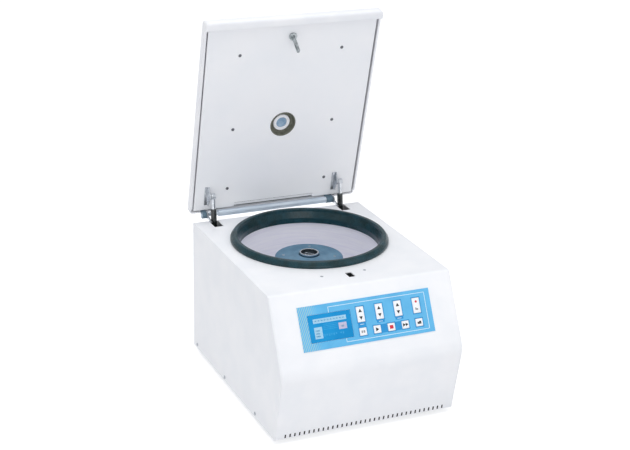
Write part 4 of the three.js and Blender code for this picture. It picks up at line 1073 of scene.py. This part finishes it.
port_row = 185
tube_top = lid_rise - 19.06
tube_profile = softened(
    [
        (17.9, tube_top + 1.6), (25.6, tube_top + 1.6, 0.8), (25.6, 0, 0.4), (27.2, 0, 0.4),
        (27.2, tube_top), (17.9, tube_top)
    ], 4
)
port_dark = finish("port_dark", tone(122, 124, 112), tone(100, 100, 90), 8, (0.45, 0.6), 0.7, 0.02)
port_tube = turned(
    "view_port_tube_moulded", tube_profile, on_lid(0, port_row, 0), axis=into_chamber, steps=96
)
fit(port_tube, port_dark, "lid", stands_for="view_port_tube")
lens_body = finish(
    "lens_body", tone(166, 192, 214), tone(140, 170, 198), 10, (0.05, 0.1), 2, 0.002, coat=0.8
)
lens_profile = [(0, -1.2), (12.5, -1.2), (12.5, 0.6), (12.0, 1.05), (9, 1.15), (0, 1.2)]
lens = turned(
    "view_port_lens_clear", lens_profile, middle("view_port_lens"), axis=into_chamber, steps=72,
    closed=False
)
fit(lens, lens_body, "lid", stands_for="view_port_lens")

# ---------------------------------------------------------------------------
# Striker and brackets. The striker is a plated plate in a turned collar, with
# a window for the bolt. The brackets hold the tops of the gas struts.
# ---------------------------------------------------------------------------
striker_finish = finish(
    "striker_finish", tone(186, 192, 194), tone(146, 152, 154), 6, (0.2, 0.34), 0.6, 0.006,
    metallic=1.0
)
striker = eased("latch_striker_plated", "latch_striker", 0.4)
striker_across, collar_height = -1.5, 4.3
places = [lid_frame.inverted() @ v.co / MM for v in striker.data.vertices]
for corner, local in zip(striker.data.vertices, places):
    drop = lid_rise - local.z
    if drop > collar_height:
        local.x = striker_across + (local.x - striker_across) * 1.4
        corner.co = lid_frame @ (local * MM)
fit(striker, striker_finish, "lid", stands_for="latch_striker")
for side in ("left", "right"):
    fit(
        eased(f"lid_bracket_{side}_plated", "lid_bracket_" + side, 0.35), plated, "lid",
        stands_for="lid_bracket_" + side
    )

# ---------------------------------------------------------------------------
# Gas struts. Each black enamelled tube has a plated end eye on the lid's
# bracket, and its chromed rod runs down to a pin on an anchor in the casing.
# ---------------------------------------------------------------------------
coat_node("strut_anchor_left", zinc_plate)
coat_node("strut_anchor_right", zinc_plate)
tube_black = finish(
    "tube_black", tone(34, 40, 40), tone(24, 29, 30), 10, (0.2, 0.3), 0.8, 0.006, coat=0.4
)
rod_chrome = finish(
    "rod_chrome", tone(224, 227, 231), tone(206, 210, 216), 8, (0.06, 0.14), 0.6, 0.002,
    metallic=1.0
)
strut_joint = {j["child"]: j for j in frame["record"]["behaviour"]["joints"]}
for side in ("left", "right"):
    pivot = Vector(strut_joint["tube_" + side]["pos_m"])
    along = Vector(strut_joint["rod_" + side]["axis"]).normalized()
    barrel = [(2.9, -140), (2.9, -153)] + softened(
        [(2.9, -153), (6.0, -153, 0.8), (6.0, -28, 1.6), (4.2, -26, 0.4), (0, -26)], 5
    )[1:]
    tube = turned(
        f"strut_tube_{side}_enamelled", [(0, -140)] + barrel, pivot, axis=along, steps=56,
        closed=False
    )
    fit(tube, tube_black, "tube_" + side, stands_for="strut_tube_" + side)
    shank = turned(
        f"strut_shank_{side}",
        softened([(0, -26.2), (3.9, -26.2), (3.9, -8), (3.9, -2), (0, -2)], 3), pivot, axis=along,
        steps=40, closed=False
    )
    eye = turned(
        f"strut_eye_{side}",
        softened([(2.9, -4.5), (6.0, -4.5, 0.6), (6.0, 4.5, 0.6), (2.9, 4.5)], 4), pivot, axis="X",
        steps=48
    )
    fit(shank, plated, "tube_" + side)
    fit(eye, plated, "tube_" + side)
    fit(
        eased(f"strut_rod_{side}_chromed", "strut_rod_" + side, 0.2), rod_chrome, "rod_" + side,
        stands_for="strut_rod_" + side
    )
